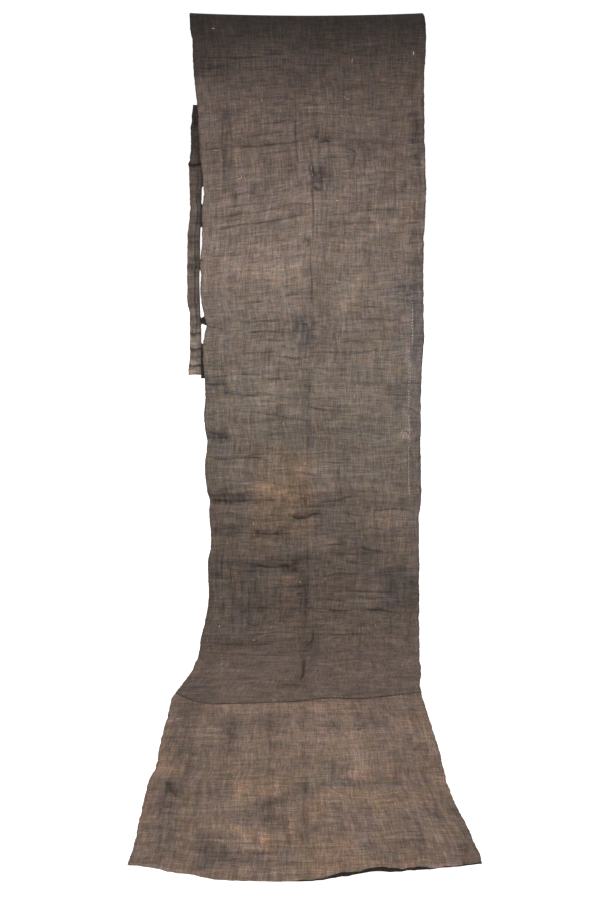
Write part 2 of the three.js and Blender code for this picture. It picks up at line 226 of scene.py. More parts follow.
HEM_LIFT = np.array(
    [
        (-385, 0.3),
        (-180, 0),
        (-80, 0.3),
        (-5, 1.2),
        (12, 0.9),
        (29, 1.2),
        (46, 1.8),
        (63, 3.4),
        (80, 5.2),
        (97, 4.2),
        (115, 2.4),
        (132, 3.6),
        (149, 4.6),
        (167, 5.8),
        (184, 4.4),
        (201, 3),
        (218, 2),
        (253, 1.8),
        (289, 0.8),
        (324, 0.8),
        (385, 0.3),
    ],
    float,
)
HEM_LIFT_BACK = 170.0
# How far back from the hem its turned-down end is painted dark, as the shadow under the lifted hem.
HEM_SHADOW_DEPTH = np.array(
    [
        (-385, 0),
        (-90, 0),
        (-22, 0.5),
        (-5, 3.2),
        (12, 2),
        (29, 2.8),
        (46, 3.1),
        (63, 5.2),
        (80, 6.6),
        (97, 5.4),
        (115, 3.8),
        (132, 5),
        (149, 5.8),
        (167, 6.2),
        (184, 5.3),
        (201, 4.2),
        (218, 3.2),
        (236, 3.8),
        (253, 3.2),
        (271, 2.2),
        (289, 0.6),
        (306, 2.2),
        (324, 1.2),
        (341, 2.6),
        (360, 2),
        (385, 2),
    ],
    float,
)
# The turned-down part carries the painted shadow of the gap under the lifted hem.
HEM_TURN = 4.0  # the hem's last part, turned down to the floor
SLOW_WAVES = [(930, 0.9, 0.6, 4.0), (410, 2.3, -1.1, 2.2)]  # length, shift, lean, height
EDGE_CURL = 5.0

# Fine creases: the line's points as (across, run), half width, rise, and how dark the crease is painted as shade
# (below 0 a ridge, painted paler as a highlight).
CREASES = [
    ([(-376, 146), (-310, 147), (-244, 149), (-171, 142), (-111, 133), (-55, 128)], 5.5, -1.2, 0.5),
    ([(-378, 182), (-329, 182), (-288, 179)], 5, -1, 0.45),
    ([(-384, 207), (-347, 204)], 5, -0.8, 0.3),
    ([(114, 153), (115, 217), (111, 280), (106, 319)], 4.5, -0.8, 0.32),
    ([(208, 147), (214, 217)], 4.5, -0.6, 0.22),
    ([(283, 153), (287, 280)], 4.5, -0.6, 0.22),
    ([(346, 160), (345, 242)], 4.5, -0.6, 0.22),
    ([(-274, 280), (-220, 274), (-175, 268)], 5, -0.9, 0.32),
    ([(-302, 312), (-305, 409), (-309, 507), (-314, 590)], 5, -1.2, 0.5),
    ([(-273, 319), (-276, 416)], 4.5, -0.6, 0.25),
    ([(-300, 316), (-239, 309), (-178, 306)], 4.5, -0.6, 0.25),
    ([(-90, 322), (-67, 332), (-56, 348), (-56, 393), (-54, 442), (-55, 497)], 4.5, -1.4, 0.62),
    ([(-177, 359), (-139, 353), (-95, 348), (-92, 367)], 4.5, -1.1, 0.5),
    ([(-243, 400), (-181, 393), (-123, 383), (-72, 380), (-21, 367)], 5, -1, 0.38),
    ([(-292, 432), (-244, 427), (-193, 432), (-159, 426), (-121, 419), (-74, 417), (-39, 409), (2, 408)], 6, -1.7, 0.62),
    ([(18, 414), (63, 411)], 5.5, -1.6, 0.7),
    ([(63, 413), (148, 414), (250, 419), (365, 429)], 6, -1.2, 0.28),
    ([(-371, 437), (-299, 432)], 6, -1, 0.3),
    ([(15, 468), (60, 466), (111, 461), (136, 455)], 4.5, -1.1, 0.5),
    ([(113, 435), (137, 439), (146, 452), (141, 474), (135, 497)], 4.5, -1, 0.4),
    ([(68, 501), (137, 499)], 4.5, -0.9, 0.4),
    ([(-4, 502), (68, 504)], 4.5, 0.8, -0.45),
    ([(-2, 448), (-6, 507), (-10, 573), (-2, 656), (-2, 720)], 5, -1.5, 0.58),
    ([(-5, 514), (-7, 557), (3, 570), (23, 573)], 4.5, -1.3, 0.6),
    ([(49, 547), (40, 573), (36, 610)], 4.5, -1, 0.4),
    ([(-301, 497), (-233, 494), (-164, 497), (-103, 497), (-75, 492)], 5, -0.9, 0.33),
    ([(-308, 593), (-264, 586), (-222, 577)], 4.5, -1, 0.4),
    ([(-210, 547), (-212, 573)], 4.5, -0.8, 0.3),
    ([(-346, 636), (-305, 631), (-254, 625), (-203, 616), (-159, 610)], 4.5, -0.9, 0.35),
    ([(-147, 626), (-99, 621), (-48, 616), (-20, 616), (-9, 626)], 4.5, -1.6, 0.62),
    ([(-355, 665), (-303, 661), (-252, 653), (-191, 643)], 5, -1.5, 0.6),
    ([(-362, 703), (-286, 695), (-224, 685), (-176, 678), (-131, 673), (-80, 663), (-45, 656), (-18, 651)], 5, -1.8, 0.66),
    ([(82, 650), (126, 643), (177, 640), (246, 636), (315, 635)], 5, -1.3, 0.45),
    ([(25, 697), (94, 690), (145, 681), (214, 676), (252, 675)], 5, -1.2, 0.42),
    ([(54, 573), (106, 563)], 4.5, -1, 0.38),
    ([(128, 550), (175, 563), (220, 570), (265, 596)], 4.5, -1, 0.36),
    ([(98, 367), (125, 380), (152, 387)], 4.5, -0.8, 0.3),
    ([(183, 367), (234, 364), (254, 374)], 4.5, -1, 0.4),
    ([(73, 534), (125, 530), (166, 530)], 4.5, -0.8, 0.33),
    ([(349, 474), (365, 540)], 5, -0.8, 0.3),
    ([(335, 623), (372, 666)], 5, -0.8, 0.3),
    ([(243, 426), (241, 573)], 4.5, -0.6, 0.22),
    ([(168, 312), (164, 442)], 4.5, -0.6, 0.22),
    ([(-321, 245), (-233, 234), (-175, 229)], 4.5, 0.7, -0.42),
    ([(-222, 300), (-164, 290), (-85, 284)], 4.5, 0.6, -0.35),
    ([(-35, 306), (66, 300)], 4.5, 0.6, -0.32),
    ([(87, 113), (203, 103), (302, 100)], 4.5, 0.6, -0.36),
    ([(-209, 100), (-109, 88)], 4.5, 0.6, -0.32),
    ([(35, 63), (90, 72)], 4.5, 0.6, -0.34),
    ([(-375, 789), (-316, 794), (-230, 784), (-172, 777)], 5, -1.1, 0.36),
    ([(-228, 815), (-170, 808), (-98, 798)], 4.5, -0.8, 0.25),
    ([(-205, 880), (-170, 873), (-125, 880), (-73, 878), (-21, 883)], 4.5, -1.1, 0.4),
    ([(-99, 930), (-74, 924), (-39, 921)], 4.5, -1.4, 0.55),
    ([(-261, 957), (-215, 954), (-168, 952)], 4.5, -1.6, 0.6),
    ([(-384, 1035), (-344, 1039), (-322, 1046)], 5, -1.8, 0.68),
    ([(-268, 1018), (-226, 1021), (-184, 1018), (-120, 1016), (-68, 1021), (-30, 1027)], 5, -1.4, 0.5),
    ([(-79, 1025), (-30, 1028), (-22, 1053), (-27, 1081)], 4.5, -1.6, 0.6),
    ([(-270, 1060), (-225, 1056), (-138, 1053), (-85, 1056), (-40, 1042)], 5, -1.7, 0.6),
    ([(21, 1013), (91, 1014), (145, 1009), (190, 1006), (232, 1011), (296, 1014)], 5, -1.4, 0.5),
    ([(16, 1034), (44, 1044)], 4.5, -1.2, 0.5),
    ([(73, 1049), (125, 1053), (196, 1051), (266, 1049), (319, 1046)], 5, -1.2, 0.4),
    ([(82, 1084), (197, 1081), (301, 1079)], 5, -0.9, 0.28),
    ([(123, 1130), (164, 1125), (206, 1119), (251, 1121), (297, 1119)], 5, -1.4, 0.55),
    ([(-240, 1130), (-191, 1127), (-115, 1121)], 5, -1.2, 0.45),
    ([(-115, 1141), (-45, 1148), (-3, 1141)], 5, -1.2, 0.42),
    ([(66, 1049), (80, 1102), (78, 1165)], 4.5, -1.1, 0.4),
    ([(-10, 774), (-1, 842), (0, 893), (1, 945), (-11, 1021), (-12, 1084)], 5, -1.4, 0.46),
    ([(-229, 887), (-233, 980)], 4.5, -0.9, 0.35),
    ([(-263, 911), (-268, 983)], 4.5, -0.7, 0.28),
    ([(-309, 1201), (-256, 1201), (-179, 1208)], 5, -1.2, 0.4),
    ([(-179, 1222), (-144, 1220), (-112, 1217)], 5.5, -1.3, 0.5),
    ([(-378, 1240), (-346, 1242), (-307, 1237)], 5.5, -1.6, 0.56),
    ([(-337, 1269), (-259, 1276), (-195, 1279)], 5, -1.3, 0.45),
    ([(-152, 1279), (-81, 1287), (-45, 1288), (-2, 1283)], 5, -1.1, 0.38),
    ([(-26, 1319), (10, 1330), (63, 1332), (113, 1332)], 4.5, -1.7, 0.65),
    ([(-238, 1341), (-185, 1341), (-131, 1351), (-78, 1362), (-32, 1362)], 5.5, -1.4, 0.48),
    ([(-217, 1341), (-222, 1442)], 4.5, -0.9, 0.32),
    ([(-381, 1413), (-350, 1420), (-311, 1426)], 5.5, -1.5, 0.5),
    ([(-311, 1426), (-244, 1431), (-216, 1439)], 5, -0.9, 0.3),
    ([(-175, 1424), (-135, 1419), (-82, 1417), (-42, 1413)], 5, -1.3, 0.5),
    ([(44, 1402), (115, 1399), (186, 1406), (243, 1406)], 5, -1, 0.33),
    ([(287, 1319), (330, 1323), (355, 1333), (383, 1351)], 5, -1.3, 0.48),
    ([(308, 1450), (384, 1446)], 5, -1.2, 0.45),
    ([(-26, 1388), (-6, 1413), (33, 1406)], 5, -1.1, 0.36),
    ([(-12, 1091), (-13, 1190), (-17, 1297), (-23, 1442), (-20, 1552)], 5, -1, 0.36),
    ([(-77, 861), (-18, 852)], 4.5, 0.8, -0.42),
    ([(-370, 945), (-342, 943)], 4.5, 0.6, -0.34),
    ([(-374, 904), (-339, 904)], 4.5, 0.6, -0.34),
    ([(-243, 1330), (-200, 1324), (-115, 1319)], 5, 0.8, -0.38),
    ([(72, 1262), (115, 1226)], 5, 0.7, -0.3),
    ([(-381, 1514), (-331, 1514), (-260, 1508), (-196, 1505), (-146, 1506)], 5, -1.8, 0.66),
    ([(-260, 1505), (-207, 1494), (-147, 1490)], 4.5, -1.3, 0.48),
    ([(90, 1512), (136, 1512)], 4.5, -1.2, 0.5),
    ([(-94, 1472), (-92, 1575)], 4.5, -0.9, 0.33),
    ([(-242, 1590), (-181, 1590), (-136, 1604), (-98, 1616)], 4.5, -1, 0.35),
    ([(94, 1530), (90, 1593)], 4.5, -0.8, 0.33),
    ([(-379, 1664), (-326, 1672), (-271, 1672), (-223, 1664)], 6, -2.4, 0.8),
    ([(-202, 1668), (-122, 1668)], 5.5, -1.4, 0.42),
    ([(-55, 1657), (-41, 1660), (-30, 1687)], 5, -1.4, 0.58),
    ([(16, 1672), (74, 1668), (111, 1657), (151, 1649)], 5.5, -2, 0.7),
    ([(-299, 1732), (-259, 1732), (-223, 1739)], 5, -1.6, 0.55),
    ([(-197, 1739), (-138, 1732)], 5, -1, 0.3),
    ([(-94, 1726), (-57, 1735), (-28, 1732), (-6, 1720), (27, 1713)], 6, -2.8, 1),
    ([(-380, 1769), (-347, 1773), (-284, 1769)], 5.5, -1.6, 0.55),
    ([(-214, 1786), (-170, 1792), (-122, 1788)], 6, -2.6, 0.92),
    ([(-151, 1766), (-84, 1762)], 5, -1.2, 0.38),
    ([(167, 1690), (225, 1687)], 5, -1, 0.33),
    ([(227, 1702), (277, 1694), (313, 1694), (362, 1705)], 5, -1.4, 0.5),
    ([(115, 1751), (192, 1747)], 5, -1.1, 0.34),
    ([(59, 1781), (133, 1781), (199, 1777)], 5, -1.1, 0.34),
    ([(229, 1762), (234, 1800)], 4.5, -1.1, 0.48),
    ([(276, 1792), (317, 1777), (325, 1762)], 5, -1.2, 0.42),
    ([(103, 1796), (143, 1811)], 4.5, -1.1, 0.38),
    ([(35, 1834), (76, 1830), (116, 1830)], 5, -1.4, 0.52),
    ([(161, 1840), (206, 1853), (253, 1857)], 5.5, -1.7, 0.64),
    ([(316, 1861), (389, 1853)], 5, -1, 0.36),
    ([(-242, 1909), (-187, 1913), (-140, 1917), (-103, 1911), (-56, 1909)], 6, -2.5, 0.85),
    ([(56, 1872), (144, 1872)], 5, -1, 0.36),
    ([(112, 1898), (170, 1906), (217, 1909)], 5, -1.3, 0.48),
    ([(39, 1955), (72, 1946), (116, 1942), (167, 1942)], 5, -1.7, 0.6),
    ([(-374, 1983), (-279, 1986)], 5, -1, 0.33),
    ([(-191, 1994), (-85, 1986), (-27, 1986)], 5, -1.1, 0.38),
    ([(-67, 2014), (-31, 2008)], 5, -1.4, 0.54),
    ([(112, 2005), (207, 2008), (302, 2012)], 5, -1.2, 0.45),
    ([(262, 2027), (338, 2034)], 5, -1, 0.33),
    ([(-240, 2069), (-186, 2065), (-119, 2072), (-47, 2071), (-25, 2072)], 5.5, -1.4, 0.55),
    ([(51, 2069), (118, 2078), (139, 2076)], 5.5, -1.7, 0.66),
    ([(165, 2074), (244, 2072), (288, 2084), (329, 2092)], 5.5, -1.8, 0.7),
    ([(-233, 2112), (-227, 2133), (-186, 2138)], 4.5, -1.3, 0.58),
    ([(-131, 2125), (-92, 2117)], 4.5, -1.1, 0.42),
    ([(54, 2183), (99, 2178), (149, 2174), (195, 2174), (234, 2164)], 5.5, -1.9, 0.66),
    ([(10, 2155), (8, 2198), (-1, 2224), (-16, 2245)], 5.5, -2, 0.8),
    ([(-390, 2208), (-333, 2224), (-261, 2236), (-191, 2236), (-100, 2224)], 6, -1.8, 0.55),
    ([(-56, 2267), (-30, 2281), (8, 2274)], 5.5, -1.5, 0.62),
    ([(-385, 2267), (-349, 2274)], 5.5, -1.1, 0.42),
    ([(-26, 1657), (-27, 1815), (-20, 1964), (-24, 2076), (-27, 2160)], 5, -1.3, 0.34),
    ([(343, 1512), (383, 1508)], 5, -0.9, 0.36),
    ([(-205, 1642), (-104, 1636)], 5, 1, -0.45),
    ([(-90, 1717), (-39, 1713)], 6, 1.2, -0.5),
    ([(39, 1821), (80, 1819)], 5, 0.9, -0.45),
    ([(-236, 1883), (-196, 1883)], 5, 0.9, -0.42),
    ([(-169, 1955), (-71, 1953)], 5, 1, -0.48),
    ([(-104, 2018), (-60, 2016)], 5, 1, -0.46),
    ([(101, 1578), (211, 1564)], 4.5, 0.8, -0.36),
    ([(115, 2044), (283, 2042)], 4.5, 0.8, -0.32),
    ([(-381, 2274), (-239, 2297), (-77, 2314)], 7, -1.1, 0.3),
    ([(-286, 2388), (-193, 2396), (-145, 2372), (-71, 2355)], 8, -1.2, 0.33),
    ([(-244, 2489), (-124, 2481)], 8, -1, 0.28),
    ([(-275, 2435), (-134, 2435)], 7, 0.9, -0.34),
    ([(-12, 2339), (-11, 2428), (-5, 2526)], 8, -1.7, 0.8),
    ([(-59, 2541), (-33, 2544), (-7, 2548)], 8, -1.7, 0.88),
    ([(72, 2392), (129, 2372), (170, 2360), (215, 2380), (256, 2396)], 6, 1, -0.46),
    ([(75, 2305), (137, 2267), (197, 2281)], 8, -1.2, 0.3),
    ([(-281, 2474), (-301, 2305)], 8, 1, -0.22),
    ([(-344, 3101), (-324, 3147), (-317, 3160), (-303, 3178)], 8, 1.8, 0.75),
    ([(-321, 3173), (-310, 3310), (-301, 3427)], 7, 1.4, 0.34),
    ([(-161, 3167), (-126, 3173), (-86, 3178), (-68, 3169)], 7, 1.4, 0.5),
    ([(-72, 3038), (-62, 3096), (-68, 3173)], 6, 1.4, 0.5),
    ([(-116, 3254), (-85, 3238), (-52, 3212), (-22, 3191), (-1, 3171)], 8, 2.2, 0.55),
    ([(14, 3133), (17, 3173)], 7, 2, 0.85),
    ([(17, 3173), (7, 3270), (-2, 3388)], 6, 1.6, 0.48),
    ([(63, 3062), (66, 3124)], 7, 1.4, 0.5),
    ([(65, 3128), (105, 3169), (129, 3191)], 6, 1.2, -0.42),
    ([(18, 3254), (64, 3229)], 6, 1.2, -0.4),
    ([(46, 3204), (98, 3187), (117, 3173)], 6, 1.2, -0.4),
    ([(280, 3182), (273, 3290), (270, 3378)], 7, 1.4, 0.42),
    ([(221, 3325), (233, 3420)], 7, 1.1, 0.33),
    ([(238, 3133), (233, 3254)], 6, 1, 0.25),
    ([(286, 2987), (292, 3048), (281, 3151)], 7, 1.2, 0.42),
    ([(175, 2639), (176, 2743), (172, 2839)], 6, 1.3, 0.5),
    ([(368, 2913), (366, 3048), (357, 3173)], 7, 1.2, 0.38),
    ([(121, 3128), (174, 3119), (237, 3124), (276, 3133)], 8, 1.2, 0.38),
    ([(92, 2767), (120, 2851), (135, 2871)], 7, 1.2, 0.4),
    ([(-119, 2767), (-75, 2798), (-48, 2822)], 7, 1, 0.33),
    ([(-210, 2774), (-193, 2862), (-191, 3008)], 7, 1.2, 0.4),
    ([(-87, 2774), (-81, 2982)], 7, 1, 0.33),
    ([(-319, 2961), (-302, 3058)], 7, 1, 0.36),
    ([(-236, 2918), (-273, 2945)], 7, 1, 0.28),
    ([(-167, 3410), (-110, 3406), (-64, 3396)], 8, 1.4, 0.48),
    ([(-10, 2998), (-3, 3119)], 7, 1, 0.3),
    ([(-64, 2717), (-4, 2717), (63, 2698)], 7, 0.9, -0.3),
    ([(-22, 2749), (5, 2891)], 7, 0.8, -0.26),
    ([(348, 911), (347, 1007), (344, 1105)], 4, 0.5, -0.3),
    ([(337, 1127), (346, 1244), (344, 1351), (342, 1442), (340, 1634)], 4, 0.5, -0.32),
    ([(-339, 1845), (-334, 1946), (-332, 2038), (-318, 2125)], 4, -0.7, 0.45),
    ([(-301, 1891), (-301, 2001), (-292, 2096), (-274, 2169)], 4, -0.7, 0.4),
    ([(-266, 1909), (-264, 2001), (-257, 2096), (-242, 2169)], 4, -0.6, 0.35),
    ([(-239, 1946), (-239, 2038), (-232, 2108), (-223, 2160)], 4, -0.7, 0.45),
    ([(-213, 1928), (-213, 2001), (-208, 2084)], 4, -0.5, 0.3),
    ([(-126, 2001), (-123, 2057), (-115, 2138)], 4, -0.6, 0.32),
    ([(-104, 1994), (-102, 2061), (-94, 2151)], 4, -0.6, 0.35),
    ([(-31, 1964), (-31, 2038), (-26, 2108), (-21, 2188)], 4.5, -0.8, 0.4),
    ([(-177, 2001), (-171, 2076), (-161, 2142)], 4, -0.5, 0.3),
    ([(-308, 2178), (-282, 2195), (-228, 2200), (-183, 2195), (-159, 2178), (-159, 2142)], 4, 0.8, -0.45),
    ([(-333, 2214), (-279, 2227), (-209, 2233), (-156, 2224), (-111, 2214)], 4, -1, 0.45),
    ([(-229, 2117), (-223, 2133), (-190, 2135), (-177, 2129)], 4.5, -1, 0.55),
    ([(-236, 1885), (-207, 1883), (-174, 1885)], 3.5, 0.9, -0.6),
    ([(-169, 1953), (-122, 1952), (-74, 1953)], 3.5, 0.7, -0.45),
    ([(-100, 2018), (-82, 2016), (-60, 2018)], 4, 0.9, -0.65),
    ([(108, 2046), (163, 2044), (214, 2048)], 3.5, 0.7, -0.42),
    ([(60, 2364), (105, 2347), (146, 2347), (188, 2372), (235, 2412)], 3.5, 0.6, -0.38),
    ([(-282, 2435), (-205, 2432), (-147, 2439), (-104, 2435)], 3.5, 0.6, -0.38),
    ([(46, 1832), (76, 1830), (109, 1832)], 4.5, -1, 0.5),
    ([(52, 1872), (114, 1866), (177, 1876)], 4, -0.7, 0.35),
    ([(89, 1891), (141, 1898), (199, 1913)], 4, -0.7, 0.35),
    ([(32, 1950), (79, 1942), (141, 1941), (200, 1942)], 4.5, -0.8, 0.4),
    ([(-301, 435), (-306, 491), (-309, 540), (-311, 586)], 4, -0.7, 0.45),
    ([(-309, 590), (-264, 583), (-222, 573)], 4, -0.7, 0.4),
    ([(-143, 448), (-148, 507), (-152, 580)], 4, -0.5, 0.3),
    ([(-82, 429), (-87, 491), (-90, 560)], 4, -0.5, 0.32),
    ([(-50, 435), (-53, 474), (-56, 507)], 4, -0.5, 0.32),
    ([(-4, 502), (41, 504), (92, 501), (133, 494)], 4, 0.8, -0.5),
    ([(139, 455), (139, 474), (135, 497)], 4, -0.7, 0.45),
    ([(-1, 514), (-3, 547), (3, 567), (27, 573)], 4, -0.8, 0.5),
    ([(-29, 734), (-15, 740), (-17, 757)], 5, -0.8, 0.5),
    ([(-233, 954), (-201, 952), (-166, 949)], 4.5, -1, 0.55),
    ([(-95, 926), (-78, 923), (-56, 918)], 4, -0.8, 0.45),
    ([(-84, 324), (-70, 329), (-60, 338), (-56, 358)], 4.5, -0.9, 0.4),
    ([(-96, 383), (-14, 370), (47, 364)], 4.5, -0.8, 0.3),
    ([(-63, 417), (-29, 414), (1, 414)], 5, -1.2, 0.35),
    ([(-352, 663), (-242, 650), (-99, 626), (-13, 620)], 4.5, -0.8, 0.36),
    ([(-355, 686), (-269, 673), (-176, 656)], 4.5, -0.7, 0.26),
    ([(-347, 734), (-251, 723), (-164, 710)], 4.5, -0.7, 0.26),
    ([(-345, 764), (-232, 754), (-77, 737)], 4.5, -0.6, 0.22),
    ([(-274, 332), (-178, 319), (-104, 312)], 4, -0.6, 0.22),
    ([(-4, 501), (58, 504), (113, 497)], 4, -0.6, 0.24),
    ([(45, 419), (130, 426), (232, 439), (317, 448)], 5, -0.8, 0.24),
    ([(75, 653), (160, 643), (246, 636), (332, 643)], 4.5, -0.7, 0.24),
    ([(-2, 700), (77, 693), (162, 680), (283, 680)], 4.5, -0.7, 0.24),
    ([(33, 1866), (88, 1863), (151, 1872)], 5, -1.2, 0.38),
    ([(105, 1950), (163, 1946)], 4.5, -1, 0.34),
    ([(35, 1920), (90, 1919)], 4.5, -1, 0.3),
    ([(-150, 3278), (-77, 3217), (0, 3151), (70, 3101)], 30, -0.3, 0.5),
    ([(-240, 3406), (-175, 3417), (-94, 3413)], 22, -0.2, 0.34),
    ([(256, 3212), (302, 3238), (342, 3270)], 22, -0.2, 0.32),
]

# Tone of the cloth along its run, as a share of 255: darkest at the fold, where this is painted shade, and lower on
# the front fall, partly painted shade on the sweep down to the floor.
TONE_AND_SHADE_FRONT = np.array(
    [
        (-60, 32.5),
        (0, 34.4),
        (45, 39.8),
        (120, 52.6),
        (200, 65),
        (300, 75),
        (420, 82.8),
        (600, 92.6),
        (820, 96.3),
        (1000, 95.8),
        (1110, 95.2),
        (1250, 96.6),
        (1430, 91.2),
        (1550, 91.4),
        (1700, 86.6),
        (1800, 86.2),
        (1900, 82.6),
        (2060, 79),
        (2300, 89.2),
        (2640, 89.3),
    ],
    float,
)
TONE_END = np.array([(2600, 102), (2700, 103.2), (2900, 109.6), (3200, 108), (3490, 104)], float)
# On the back fall the tone is painted darker towards the fold, as the fold's shade.
TONE_AND_SHADE_BACK = np.array([(-1230, 84), (-700, 78), (-300, 66), (-190, 55), (-120, 43), (-60, 32.5)], float)

# Cast of the dye along the run: run, share of red, share of blue. The ends of the cloth are redder.
CAST = np.array(
    [
        (-60, 1.065, 0.985),
        (300, 1.05, 0.985),
        (420, 1.04, 0.985),
        (650, 1.025, 0.985),
        (850, 1.01, 0.985),
        (1050, 1, 0.985),
        (1250, 0.975, 0.985),
        (1480, 0.975, 0.985),
        (1650, 1.007, 0.98),
        (1900, 1.015, 0.965),
        (2100, 1.04, 0.955),
        (2400, 1.06, 0.95),
        (2640, 1.065, 0.945),
        (2800, 1.068, 0.915),
        (3500, 1.075, 0.91),
    ],
    float,
)

# Stains: across, run, half width, half length, tone, warm (tan), cool (blue grey).
STAINS = [
    (-330, 175, 65, 30, -8, 0, 0),
    (25, 525, 40, 30, -17, 0, 0.35),
    (30, 395, 25, 10, -18, 0, 0.1),
    (-290, 460, 15, 140, -11, 0, 0),
    (360, 360, 25, 90, -10, 0, 0.25),
    (365, 805, 25, 350, -7, 0, 0.2),
    (-205, 790, 165, 190, 5, 0, 0),
    (-150, 845, 115, 35, 7, 0.12, 0),
    (105, 955, 15, 20, 12, 0.2, 0),
    (245, 685, 40, 15, 12, 0.35, 0),
    (170, 885, 40, 25, 3, 0.3, 0),
    (-40, 1055, 35, 55, -17, 0, 0.7),
    (50, 1075, 30, 30, -8, 0, 0.45),
    (325, 925, 25, 25, -12, 0, 0.3),
    (330, 1000, 55, 120, -5, 0, 0.55),
    (-335, 990, 35, 65, -8, 0, 0.3),
    (-350, 1225, 40, 35, -14, 0, 0.45),
    (-345, 1425, 35, 20, -18, 0, 0.3),
    (335, 1300, 45, 70, -8, 0, 0.65),
    (-170, 1245, 25, 20, 10, 0.25, 0),
    (30, 1245, 20, 15, 8, 0, 0),
    (-160, 1310, 50, 20, 8, 0.1, 0),
    (10, 1575, 55, 70, 8, 0.25, 0),
    (-140, 1630, 65, 30, 13, 0.5, 0),
    (-120, 1635, 100, 145, 3, 0.6, 0),
    (-300, 1655, 90, 20, -18, 0, 0),
    (70, 1655, 35, 20, -14, 0, 0.1),
    (-50, 1725, 25, 15, -18, 0, 0),
    (-320, 1770, 55, 20, -12, 0, 0.1),
    (-170, 1790, 60, 15, -20, 0, 0.1),
    (270, 1730, 55, 30, 8, 0.35, 0),
    (-215, 1905, 170, 30, -8, 0, 0.1),
    (-85, 1905, 30, 20, -13, 0, 0),
    (-300, 2020, 110, 100, -4, 0, 0.2),
    (-40, 2025, 20, 75, -10, 0, 0),
    (320, 1995, 60, 65, -14, 0, 0.85),
    (175, 1845, 35, 25, -6, 0, 0.4),
    (-275, 2220, 105, 35, -10, 0, 0.1),
    (0, 2355, 30, 190, -8, 0, 0),
    (-320, 2600, 55, 50, -10, 0, 0.3),
    (-35, 2685, 205, 40, 8, 0.35, 0),
    (-325, 2820, 35, 180, -8, 0, 0.25),
    (-160, 2820, 65, 60, -11, 0, 0.5),
    (-60, 2805, 35, 60, -8, 0, 0.35),
    (85, 2815, 35, 35, -9, 0, 0.3),
    (200, 2780, 40, 50, -6, 0, 0.35),
    (-355, 3045, 40, 60, 13, 0.35, 0),
    (-325, 3165, 30, 70, -9, 0, 0.3),
    (75, 3065, 20, 60, -11, 0, 0.5),
    (115, 3080, 20, 35, -9, 0, 0.4),
    (155, 3045, 25, 35, 11, 0.45, 0),
    (15, 3155, 20, 30, -11, 0, 0.35),
    (215, 3120, 100, 20, -9, 0, 0.4),
    (-80, 3140, 70, 55, 8, 0.5, 0),
    (-70, 3250, 35, 55, -14, 0, 0.7),
    (-125, 3270, 25, 25, -13, 0, 0.8),
    (5, 3300, 5, 100, -8, 0, 0),
    (-120, 3340, 40, 40, 12, 0.5, 0),
    (-35, 3295, 15, 45, 10, 0.4, 0),
    (-205, 3410, 35, 35, -16, 0, 0.75),
    (-130, 3415, 40, 20, -14, 0, 0.6),
    (60, 3400, 65, 60, 8, 0.5, 0),
    (140, 3305, 25, 65, -6, 0, 0.35),
    (340, 3225, 40, 50, -12, 0, 0.45),
    (295, 3360, 20, 30, 12, 0.35, 0),
    (355, 3400, 35, 40, -12, 0, 0.25),
    (30, 3220, 25, 30, 10, 1, 0),
    (350, 3085, 20, 105, 6, 0.2, 0),
    (220, 3185, 105, 35, 6, 0.4, 0),
    (300, 2960, 35, 90, -5, 0, 0.1),
    (-240, 2112, 9, 93, 0, 0, 0.6),
    (-277, 2084, 9, 88, 0, 0, 0.45),
    (-10, 1935, 8, 130, 3, 0, 0.55),
    (-220, 1913, 23, 25, -2, 0, 0.5),
    (-143, 1935, 36, 11, 2, 0, 0.55),
    (-282, 1960, 16, 43, 0, 0.45, 0),
    (-81, 2038, 21, 18, 4, 0.5, 0),
    (-121, 1953, 47, 7, 5, 0.4, 0),
    (-206, 1885, 29, 5, 7, 0, 0.6),
    (-193, 1833, 44, 34, 2, 0.35, 0),
    (-235, 2197, 74, 10, 5, 0, 0.35),
    (21, 536, 27, 29, -9, 0, 0.15),
    (-21, 743, 10, 13, -10, 0, 0.2),
    (-377, 1589, 64, 387, -7, 0, 0),
    (286, 622, 110, 206, -5, 0, 0),
    (375, 1326, 42, 115, 6, 0, 0),
    (-331, 3186, 104, 228, -8, 0, 0.08),
    (-265, 3022, 80, 161, -5, 0, 0.06),
    (203, 3249, 81, 98, 6, 0, 0),
    (-9, 3441, 99, 34, 8, 0, 0),
    (123, 2785, 69, 109, 4, 0, 0),
    (-359, 128, 52, 94, -4, 0, 0),
    (355, 128, 52, 94, -3, 0, 0),
    # Streaks along the warp of the end panel.
    (-327, 2962, 11, 283, -10.5, 0, 0.15),
    (-300, 2875, 9, 196, -7.6, 0, 0.08),
    (-192, 2921, 12, 243, -8, 0, 0.1),
    (-150, 2974, 8, 295, 7.6, 0, 0),
    (-78, 3031, 7, 353, -11.4, 0, 0.08),
    (-38, 3239, 7, 201, -9.5, 0, 0.12),
    (16, 3031, 8, 353, -11.4, 0, 0.08),
    (71, 2964, 11, 285, 7.6, 0, 0),
    (148, 2917, 9, 238, 7.6, 0, 0),
    (261, 3166, 10, 210, -11.4, 0, 0.15),
    (339, 2964, 11, 285, -11.4, 0, 0.15),
    (366, 3127, 9, 182, -9.5, 0, 0.08),
    (-325, 3237, 11, 165, -8, 0, 0.15),
    (325, 2865, 8, 187, 7.6, 0, 0),
]

